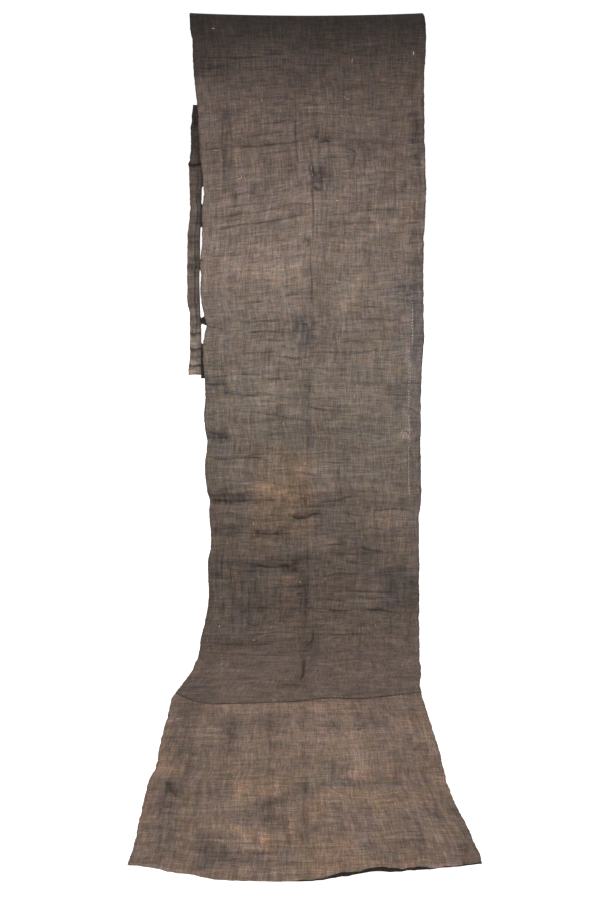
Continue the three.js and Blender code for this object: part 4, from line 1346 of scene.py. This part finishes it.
# ---------------------------------------------------------------- meshes
def new_object(name, verts, faces, weave, colours, material, sharp=None):
    """An object from arrays: faces are quads, or triangles with -1 last."""
    mesh = bpy.data.meshes.new(name)
    faces = np.asarray(faces, np.int64)
    sizes = np.where(faces[:, 3] < 0, 3, 4)
    loops = faces.ravel()
    loops = loops[loops >= 0]
    mesh.vertices.add(len(verts))
    mesh.vertices.foreach_set("co", (np.asarray(verts, float) / 1000.0).astype(np.float32).ravel())
    mesh.loops.add(len(loops))
    mesh.loops.foreach_set("vertex_index", loops.astype(np.int32))
    mesh.polygons.add(len(faces))
    starts = np.concatenate([[0], np.cumsum(sizes)[:-1]])
    mesh.polygons.foreach_set("loop_start", starts.astype(np.int32))
    mesh.polygons.foreach_set("use_smooth", np.ones(len(faces), bool))
    mesh.update(calc_edges=True)
    if sharp is not None:
        ends = np.zeros(2 * len(mesh.edges), np.int32)
        mesh.edges.foreach_get("vertices", ends)
        ends = ends.reshape(-1, 2)
        flag = (sharp[ends[:, 0]] > 0) & (sharp[ends[:, 0]] == sharp[ends[:, 1]])
        mesh.attributes.new("sharp_edge", "BOOLEAN", "EDGE").data.foreach_set("value", flag)
    w = mesh.attributes.new("weave", "FLOAT_VECTOR", "POINT")
    w.data.foreach_set("vector", np.asarray(weave, np.float32).ravel())
    if colours is not None:
        colours = np.asarray(colours, np.float32)
        c = mesh.attributes.new("marks", "FLOAT_COLOR", "POINT")
        c.data.foreach_set("color", np.ascontiguousarray(colours[:, :4]).ravel())
        h = mesh.attributes.new("cast", "FLOAT_VECTOR", "POINT")
        h.data.foreach_set("vector", np.ascontiguousarray(colours[:, 4:7]).ravel())
    mesh.validate()
    mesh.update()
    obj = bpy.data.objects.new(name, mesh)
    bpy.context.scene.collection.objects.link(obj)
    mesh.materials.append(material)
    return obj


def grid_normals(points):
    """Outward directions of a grid whose rows run down the cloth and columns go to the right."""
    down = np.gradient(points, axis=0)
    right = np.gradient(points, axis=1)
    n = np.cross(down, right)
    return n / np.linalg.norm(n, axis=-1, keepdims=True)


def closed_sheet(name, points, thick, weave, colours, material, halved=False):
    """A closed thin sheet around a grid of points. If halved, its hidden face has every second column."""
    rows, cols = points.shape[:2]
    n = rows * cols
    normal = grid_normals(points)
    half = (thick / 2)[..., None]
    keep = np.arange(0, cols, 2 if halved else 1)
    hidden = (points - normal * half)[:, keep]
    verts = np.concatenate([(points + normal * half).reshape(n, 3), hidden.reshape(-1, 3)])
    index = np.arange(n).reshape(rows, cols)
    under = n + np.arange(rows * len(keep)).reshape(rows, len(keep))
    front = np.stack([index[:-1, :-1], index[1:, :-1], index[1:, 1:], index[:-1, 1:]], -1).reshape(-1, 4)
    back = np.stack([under[:-1, :-1], under[:-1, 1:], under[1:, 1:], under[1:, :-1]], -1).reshape(-1, 4)
    faces = [front, back]
    # Rim, in order round the sheet: down the left edge, along the end, up the right edge, back along the start.
    for line, below in (
        (index[:, 0], under[:, 0]),
        (index[-1, :], under[-1, :]),
        (index[::-1, -1], under[::-1, -1]),
        (index[0, ::-1], under[0, ::-1]),
    ):
        if len(line) == len(below):
            faces.append(np.stack([line[:-1], below[:-1], below[1:], line[1:]], -1))
        else:
            a, b, c, none = line[:-2:2], line[1:-1:2], line[2::2], np.full(len(below) - 1, -1)
            faces.append(np.stack([a, below[:-1], b, none], -1))
            faces.append(np.stack([b, below[:-1], below[1:], none], -1))
            faces.append(np.stack([b, below[1:], c, none], -1))
    sharp = np.zeros(len(verts), np.int32)
    for edge, value in ((index, 1), (under, 2)):
        for line in (edge[:, 0], edge[:, -1], edge[0], edge[-1]):
            sharp[line] = value
    both = lambda field: np.concatenate([field.reshape(n, -1), field[:, keep].reshape(rows * len(keep), -1)])
    return new_object(name, verts, np.concatenate(faces), both(weave), both(colours), material, sharp)


def make_panel(panel):
    cell_u, cell_r = (CELL_BACK, CELL_BACK) if panel["name"] == "panel_back" else (CELL_ACROSS, CELL_RUN)
    cols = 2 * int(round(WIDE / cell_u / 2)) + 1
    length = abs(cross_line(panel["end"], 0.5) - cross_line(panel["start"], 0.5)) + panel["before"] + panel["after"]
    rows = int(round(float(length) / cell_r)) + 1
    u_line = np.linspace(0.0, 1.0, cols)
    share_line = np.linspace(0.0, 1.0, rows)
    if panel["end"] == "front_hem":
        tail = 1.0 - 9.0 / float(length)
        share_line = np.concatenate([np.linspace(0.0, tail, rows - 3), np.linspace(tail, 1.0, 13)[1:]])
    u, share = np.meshgrid(u_line, share_line)
    across = (u - 0.5) * WIDE
    start = cross_line(panel["start"], u) - panel["before"]
    end = cross_line(panel["end"], u) + panel["after"]
    # Cut ends are a little uneven.
    end = end + 0.9 * noise(across, across * 0, 13, 1, 91 + panel["number"]) * (panel["name"] != "panel_back")
    run = start + (end - start) * share
    points = cloth_point(u, run, lift_at(panel, u, run))
    weave = np.stack(
        [warp_across(across, run) / 1000.0, weft_run(across, run) / 1000.0, np.full(u.shape, 1.37 * panel["number"])], -1
    )
    colours = marks(panel["number"], across, run, u)
    # A painted shadow along the cut end of a panel that lies over the next, strongest at the floor seam.
    if "end" in panel["over"]:
        lap_shadow = 0.8 if panel["end"] == "floor_seam" else 0.14
        broken = 0.75 + 0.5 * noise(across, across * 0, 38, 1, 83)
        colours[..., 3] = np.maximum(colours[..., 3], lap_shadow * broken * np.exp(-(((end - run) / 4.0) ** 2)))
    # The turned-down end of the hem is painted dark where it stands off the floor, as the shadow in the gap under the
    # lifted hem.
    if panel["end"] == "front_hem":
        depth = along(HEM_SHADOW_DEPTH, np.clip(across, -385, 385))
        hem_shadow = smooth(-depth, -0.72 * depth - 0.1, run - end) * smooth(0.3, 2.2, depth)
        colours[..., 0] *= 1 - 0.72 * hem_shadow
        colours[..., 1] *= 1 - hem_shadow
        colours[..., 2] = np.maximum(colours[..., 2], 0.6 * hem_shadow)
    obj = closed_sheet(panel["name"] + "_cloth", points, thickness(u, run, panel), weave, colours, MATERIALS[panel["slot"]], panel["name"] != "panel_back")
    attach(obj, "root")
    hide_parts(panel["name"])
    return obj


def undone(run):
    """1 where the band's seam has come undone."""
    out = np.zeros(np.shape(run))
    for first, last, _ in OPEN_SEAM:
        out = np.maximum(out, smooth(first - 4, first + 6, run) * (1 - smooth(last - 6, last + 4, run)))
    return out


def make_band():
    """The narrow band along the back fall's left edge, with a long soft crease and a ribbed weave."""
    rows, cols = 290, 17
    first, last = BAND[0, 0], BAND[-1, 0]
    share, v = np.meshgrid(np.linspace(1.0, 0.0, cols), np.linspace(0.0, 1.0, rows))
    run = last + (first - last) * v
    held = 1 - undone(run)
    # Where the seam holds, the band goes a little behind the back fall.
    seam_x = through(BACK_EDGES[:, 0], BACK_EDGES[:, 1], run) - BAND_GAP + 6.0 * held
    outer_x = through(BAND[:, 0], BAND[:, 1], run)
    crease = through(BAND[:, 0], BAND[:, 2], run)
    outer = through(BAND[:, 0], BAND[:, 3], run)
    behind = np.where(
        share < BAND_CREASE_AT,
        1.6 * held + (crease - 1.6 * held) * smooth(0.0, BAND_CREASE_AT, share),
        crease + (outer - crease) * smooth(BAND_CREASE_AT, 1.0, share),
    )
    ribs = 0.45 * noise(run, share * 0, 9, 1, 101) + 0.5 * noise(run, share, 30, 0.5, 102)
    for at, deep in ((484, 2.4), (1063, 1.4), (1118, 2.0), (1146, 1.2), (1178, 2.2)):
        ribs = ribs + deep * np.exp(-(((run - at) / 5.5) ** 2))
    ragged = 1.1 * noise(run, run * 0, 18, 1, 103) + 0.7 * noise(run, run * 0, 6, 1, 104)
    ragged = ragged - 3.0 * np.exp(-(((run - 481) / 8) ** 2))
    x = seam_x + (outer_x + ragged - seam_x) * share
    y = MID_R + behind + ribs * smooth(0.02, 0.3, share) * smooth(1.0, 0.85, share)
    _, z, _, _ = profile(-run)
    end_step = 1.6 * noise(share * 40, share * 0, 9, 1, 105)
    points = np.stack([x, y, z + end_step * (1 - v / 0.02).clip(0, 1)], -1)
    # Rows go up the cloth, as on the back fall.
    weave = np.stack([x / 1000.0, -run / 1000.0, np.full(run.shape, 9.3)], -1)
    tone = np.interp(run, [288, 330, 430, 475, 500, 560, 640, 800, 930, 1000, 1080, 1210], [49, 51, 56, 61, 69, 77, 83, 88, 89, 98, 110, 108])
    # Between the long crease and the seam the band turns back, and there it is painted darker as shade, more so lower
    # down.
    lower = smooth(470, 620, run)
    tone = tone - (12 * lower + 4) * (1 - smooth(0.34, 0.46, share)) * (1 - 0.55 * smooth(980, 1060, run))
    tone = tone * (
        1
        + 0.09 * noise(run, share, 8, 3, 111)
        + 0.10 * noise(run, share, 26, 0.8, 112)
        + 0.07 * noise(share * 44, run, 5, 120, 113)
    )
    for at, lighter in ((1090, 9), (1200, 11)):
        tone = tone + lighter * np.exp(-(((run - at) / 11) ** 2)) * smooth(0.3, 0.5, share)
    # Painted shade along the long crease and in dark lines across the ribs; its edges are darker too.
    dirt_and_shade = (0.62 * lower + 0.12) * np.exp(-(((share - 0.42) / 0.055) ** 2)) * (1 - 0.5 * smooth(990, 1080, run))
    dirt_and_shade = dirt_and_shade + 0.35 * np.exp(-((share / 0.07) ** 2)) + 0.30 * np.exp(-(((share - 1) / 0.07) ** 2))
    for at, dark in ((484, 0.95), (345, 0.3), (745, 0.35), (820, 0.35), (1063, 0.6), (1118, 0.7), (1146, 0.4), (1178, 0.75)):
        dirt_and_shade = np.maximum(dirt_and_shade, dark * np.exp(-(((run + 3 * np.sin(7 * share) - at) / 5.5) ** 2)))
    # Dark round the small bridge between the last two openings.
    dirt_and_shade = np.maximum(dirt_and_shade, 0.85 * np.exp(-(((run - 1017) / 9) ** 2)) * (1 - smooth(0.12, 0.34, share)))
    colours = np.stack([tone / 255.0, 0 * run + 0.05, 0 * run + 0.15, dirt_and_shade.clip(0, 1), *cast(run)], -1)
    obj = closed_sheet("side_band_cloth", points, np.full(run.shape, SHEET + 0.1), weave, colours, MATERIALS["raffia_back"])
    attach(obj, "root")
    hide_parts("side_band")
    return obj


def tubes(name, paths, radii, normals, material, sides=5, flat=1.0):
    """Many short threads as one mesh. paths is (threads, points, 3), radii is (threads, points)."""
    m, n = paths.shape[:2]
    tangent = np.gradient(paths, axis=1)
    tangent /= np.linalg.norm(tangent, axis=-1, keepdims=True) + 1e-9
    side = np.cross(tangent, normals)
    side /= np.linalg.norm(side, axis=-1, keepdims=True) + 1e-9
    up = np.cross(side, tangent)
    angle = np.arange(sides) * 2 * np.pi / sides
    ring = (
        side[:, :, None, :] * np.cos(angle)[None, None, :, None] + up[:, :, None, :] * np.sin(angle)[None, None, :, None] * flat
    )
    verts = paths[:, :, None, :] + ring * radii[:, :, None, None]
    verts = verts.reshape(-1, 3)
    tips = np.concatenate([paths[:, 0], paths[:, -1]])
    base = (np.arange(m) * n * sides)[:, None, None]
    i = np.arange(n - 1)[None, :, None] * sides
    k = np.arange(sides)[None, None, :]
    k2 = (k + 1) % sides
    quads = np.stack([base + i + k, base + i + k2, base + i + sides + k2, base + i + sides + k], -1).reshape(-1, 4)
    count = m * n * sides
    kk = np.arange(sides)[None, :]
    kk2 = (kk + 1) % sides
    b = (np.arange(m) * n * sides)[:, None]
    tip_a = (count + np.arange(m))[:, None] + 0 * kk
    tip_b = (count + m + np.arange(m))[:, None] + 0 * kk
    none = 0 * tip_a - 1
    cap_a = np.stack([tip_a, b + kk2, b + kk, none], -1).reshape(-1, 4)
    end = b + (n - 1) * sides
    cap_b = np.stack([tip_b, end + kk, end + kk2, none], -1).reshape(-1, 4)
    verts = np.concatenate([verts, tips])
    obj = new_object(name, verts, np.concatenate([quads, cap_a, cap_b]), verts / 1000.0, None, material)
    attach(obj, "root")
    return obj


def panel_at(u, run):
    """The panel that shows at a point of the front fall."""
    for panel in PANELS[1:]:
        if run <= float(cross_line(panel["end"], u)):
            return panel
    return PANELS[-1]


def on_cloth(panel, u, run):
    """Points of the outer face and its outward directions."""
    u, run = np.asarray(u, float), np.asarray(run, float)
    eps_u, eps_r = 1.5 / WIDE, 1.5
    p = cloth_point(u, run, lift_at(panel, u, run))
    pu = cloth_point(u + eps_u, run, lift_at(panel, u + eps_u, run))
    pr = cloth_point(u, run + eps_r, lift_at(panel, u, run + eps_r))
    n = np.cross(pr - p, pu - p)
    n /= np.linalg.norm(n, axis=-1, keepdims=True)
    return p + n * (thickness(u, run) / 2)[..., None], n


def stitches(name, panel, rows, material, radius, flat=1.0):
    """Stitches laid on the outer face: each row is u, run, half length, slant from the run direction."""
    rows = np.array(rows, float)
    t = np.linspace(-1.0, 1.0, 6)[None, :]
    half = rows[:, 2:3]
    run = rows[:, 1:2] + t * half * np.cos(rows[:, 3:4])
    u = rows[:, 0:1] + t * half * np.sin(rows[:, 3:4]) / WIDE
    p, n = on_cloth(panel, u, run)
    height = flat * (0.75 * radius * (1 - t**4) - 0.9 * radius * t**4)
    p = p + n * (height + 0 * u)[..., None]
    r = radius * (1 - 0.35 * t**2) + 0 * u
    return tubes(name, p, r, n, material, flat=flat)


for panel in PANELS:
    make_panel(panel)
make_band()

# ---------------------------------------------------------------- stitches, odd threads and loose fibres
dark_thread = thread_material("thread_dark", (62, 54, 50))
seam_thread = thread_material("thread_seam", (84, 75, 68))
white_thread = thread_material("thread_white", (186, 179, 171), 0.2)
grey_thread = thread_material("thread_grey", (162, 154, 146), 0.25)
pale_thread = thread_material("thread_pale", (172, 160, 144))
tan_thread = thread_material("thread_tan", (140, 124, 104))
orange_thread = thread_material("thread_orange", (146, 112, 91))
red_thread = thread_material("thread_red", (154, 108, 92))
fibre_mat = thread_material("fibre_brown", (84, 70, 60))

rng = np.random.default_rng(771)


def hem_stitches(name, first, last, across, pitch, half, radius, gaps, material):
    """A line of stitches down the right-hand hem: across is its place at the first and the last run."""
    by_panel = {}
    run = first
    while run < last:
        if rng.random() > gaps:
            place = across[0] + (across[1] - across[0]) * (run - first) / (last - first)
            u = (place + 0.9 * math.sin(run / 37.0) + rng.normal(0, 0.5)) / WIDE + 0.5
            p = panel_at(u, run)
            by_panel.setdefault(p["name"], []).append(
                (u, run, half * rng.uniform(0.8, 1.2), rng.normal(0, 0.10))
            )
        run += pitch * rng.uniform(0.88, 1.12)
    for panel_name, rows in by_panel.items():
        panel = next(p for p in PANELS if p["name"] == panel_name)
        obj = stitches(name + "_" + panel_name, panel, rows, material, radius, 0.6)


hem_stitches("hem_stitches_a", 910.0, 975.0, (345, 345), 11.0, 2.0, 1.1, 0.3, grey_thread)
hem_stitches("hem_stitches_b", 980.0, 1104.0, (344.0, 342.5), 11.0, 2.3, 1.45, 0.08, white_thread)
hem_stitches("hem_stitches_c", 1122.0, 1400.0, (335.5, 343.5), 10.8, 2.6, 1.45, 0.15, grey_thread)
hem_stitches("hem_stitches_d", 1408.0, 1640.0, (343, 340), 10.0, 3.4, 1.0, 0.12, grey_thread)

for panel in PANELS[1:5]:
    rows = []
    across = -376.0
    plain = panel["end"] == "floor_seam"
    while across < 376.0:
        u = across / WIDE + 0.5
        line = float(cross_line(panel["end"], u))
        rows.append((u, line - 6.0 + rng.normal(0, 0.6), rng.uniform(3.2, 4.4), 0.5 + rng.normal(0, 0.12)))
        across += rng.uniform(8.5, 11.5)
    obj = stitches("seam_stitches_" + panel["name"], panel, rows, dark_thread if plain else seam_thread, 0.5 if plain else 0.35)

rows_of = {}
for across, run, length, way, colour in SLUBS:
    u = across / WIDE + 0.5
    p = panel_at(u, run)
    rows_of.setdefault((p["name"], colour), []).append((u, run, length / 2, 0.0 if way == "warp" else math.pi / 2))
for (name, colour), rows in sorted(rows_of.items()):
    panel = next(p for p in PANELS if p["name"] == name)
    mat = {"pale": pale_thread, "tan": tan_thread, "grey": grey_thread, "orange": orange_thread, "red": red_thread}[colour]
    obj = stitches("slubs_" + colour + "_" + name, panel, rows, mat, 1.35 if colour in ("pale", "tan", "grey") else 1.6, 0.5)


def edge_fibres(name, count, seed):
    """Loose fibres along the side edges and hems."""
    r = np.random.default_rng(seed)
    paths, normals, radii = [], [], []
    t = np.linspace(0, 1, 6)
    for _ in range(count):
        kind = r.random()
        if kind < 0.74:
            run = r.uniform(60, 3420)
            left = r.random() < 0.5
            u = 0.001 if left else 0.999
            out = np.array([-1.0 if left else 1.0, 0.0, 0.0])
        else:
            u = r.uniform(0.01, 0.99)
            run = float(cross_line("front_hem", u)) - 0.5
            out = np.array([0.0, -1.0, 0.0])
        panel = panel_at(u, run)
        p, n = on_cloth(panel, np.array([u]), np.array([run]))
        length = r.uniform(2.5, 8.0)
        y, z, ny, nz = profile(np.array([run]))
        down = np.array([0.0, -nz[0], ny[0]])  # towards the front hem
        drift = r.normal(0, 0.55)
        lean = r.uniform(-0.15, 0.35)
        way = out + down * drift + n[0] * lean
        way /= np.linalg.norm(way)
        curl = (down * r.normal(0, 0.5) + n[0] * abs(r.normal(0, 0.3))) * length
        path = p[0] - n[0] * 0.4 - out * 1.2 + way * (t * length)[:, None] + curl * (t**2)[:, None]
        path[:, 2] = np.maximum(path[:, 2], FLOOR + 0.35)
        paths.append(path)
        normals.append(np.repeat(n, 6, axis=0))
        radii.append(r.uniform(0.12, 0.26) * (1 - 0.7 * t))
    obj = tubes(name, np.array(paths), np.array(radii), np.array(normals), fibre_mat, sides=4)
    return obj


edge_fibres("edge_fibres", 620, 51)


def band_threads():
    """Whip stitches where the band's seam still holds, and loose ends where it has come undone."""
    r = np.random.default_rng(88)
    paths, normals, radii = [], [], []
    t = np.linspace(-1, 1, 6)
    run = 290.0
    while run < 1205.0:
        held = not any(a + 4 < run < b - 4 for a, b, _ in OPEN_SEAM)
        x = float(through(BACK_EDGES[:, 0], BACK_EDGES[:, 1], np.array([run]))[0]) - BAND_GAP / 2
        _, z, _, _ = profile(np.array([-run]))
        if held:
            for face in (-1.0, 1.0):
                wide = r.uniform(3.0, 4.5)
                path = np.stack(
                    [
                        x + t * wide,
                        MID_R + face * (0.62 + 0.45 * (1 - t**2)) + 0 * t,
                        z[0] + t * face * 2.2 + r.normal(0, 0.3),
                    ],
                    -1,
                )
                paths.append(path)
                normals.append(np.repeat([[0.0, face, 0.0]], 6, axis=0))
                radii.append(0.5 * (1 - 0.3 * t**2))
            run += r.uniform(6.0, 8.5)
        else:
            if r.random() < 0.5:
                length = r.uniform(5, 14)
                s = (t + 1) / 2
                path = np.stack(
                    [
                        x - 2.0 + s * length * 0.55 + r.normal(0, 1.0) * s**2,
                        MID_R - 0.2 + r.normal(0, 0.8) * s,
                        z[0] - s * length * 0.5 - 3.0 * s**2,
                    ],
                    -1,
                )
                paths.append(path)
                normals.append(np.repeat([[0.0, -1.0, 0.0]], 6, axis=0))
                radii.append(0.28 * (1 - 0.5 * s))
            run += r.uniform(9.0, 15.0)
    obj = tubes("band_threads", np.array(paths), np.array(radii), np.array(normals), dark_thread, sides=5)


band_threads()

# ---------------------------------------------------------------- floor, light, camera
floor_mesh = bpy.data.meshes.new("floor")
R = 120.0
floor_mesh.from_pydata(
    [(-R, -R, FLOOR / 1000 - 0.0004), (R, -R, FLOOR / 1000 - 0.0004), (R, R, FLOOR / 1000 - 0.0004), (-R, R, FLOOR / 1000 - 0.0004)],
    [],
    [(0, 1, 2, 3)],
)
floor = bpy.data.objects.new("floor", floor_mesh)
bpy.context.scene.collection.objects.link(floor)
pale = bpy.data.materials.new("pale_floor")
ft = Tree(pale)
fs = ft.nodes.new("ShaderNodeBsdfPrincipled")
fs.inputs["Base Color"].default_value = (0.86, 0.86, 0.86, 1)
fs.inputs["Roughness"].default_value = 0.95
fs.inputs["Specular IOR Level"].default_value = 0.1
fs.inputs["Emission Color"].default_value = (1, 1, 1, 1)
fs.inputs["Emission Strength"].default_value = 0.62
fo = ft.nodes.new("ShaderNodeOutputMaterial")
ft.links.new(fs.outputs[0], fo.inputs[0])
floor_mesh.materials.append(pale)

world = bpy.data.worlds.new("studio")
bpy.context.scene.world = world
world.use_nodes = True
wn, wl = world.node_tree.nodes, world.node_tree.links
wn.clear()
soft = wn.new("ShaderNodeBackground")
soft.inputs["Color"].default_value = (1.0, 1.0, 1.0, 1)
soft.inputs["Strength"].default_value = 0.50
white = wn.new("ShaderNodeBackground")
white.inputs["Color"].default_value = (1.0, 1.0, 1.0, 1)
white.inputs["Strength"].default_value = 1.05
path_node = wn.new("ShaderNodeLightPath")
mixer = wn.new("ShaderNodeMixShader")
wl.new(path_node.outputs["Is Camera Ray"], mixer.inputs[0])
wl.new(soft.outputs[0], mixer.inputs[1])
wl.new(white.outputs[0], mixer.inputs[2])
wout = wn.new("ShaderNodeOutputWorld")
wl.new(mixer.outputs[0], wout.inputs[0])

sun = bpy.data.lights.new("key", "SUN")
sun.energy = 1.9
sun.angle = math.radians(48)
sun_obj = bpy.data.objects.new("key", sun)
sun_obj.rotation_euler = (math.radians(40), 0.0, math.radians(-4))
bpy.context.scene.collection.objects.link(sun_obj)

camera = bpy.data.cameras.new("camera")
camera.lens = 35.727
camera.sensor_width = 36.0
camera.clip_end = 400.0
camera_obj = bpy.data.objects.new("camera", camera)
camera_obj.location = (-0.026, -3.1875, -0.8945)
camera_obj.rotation_euler = (math.radians(90 - 10.23), 0.0, 0.0)
bpy.context.scene.collection.objects.link(camera_obj)
bpy.context.scene.camera = camera_obj
bpy.context.scene.view_settings.view_transform = "Standard"
bpy.context.scene.view_settings.look = "None"
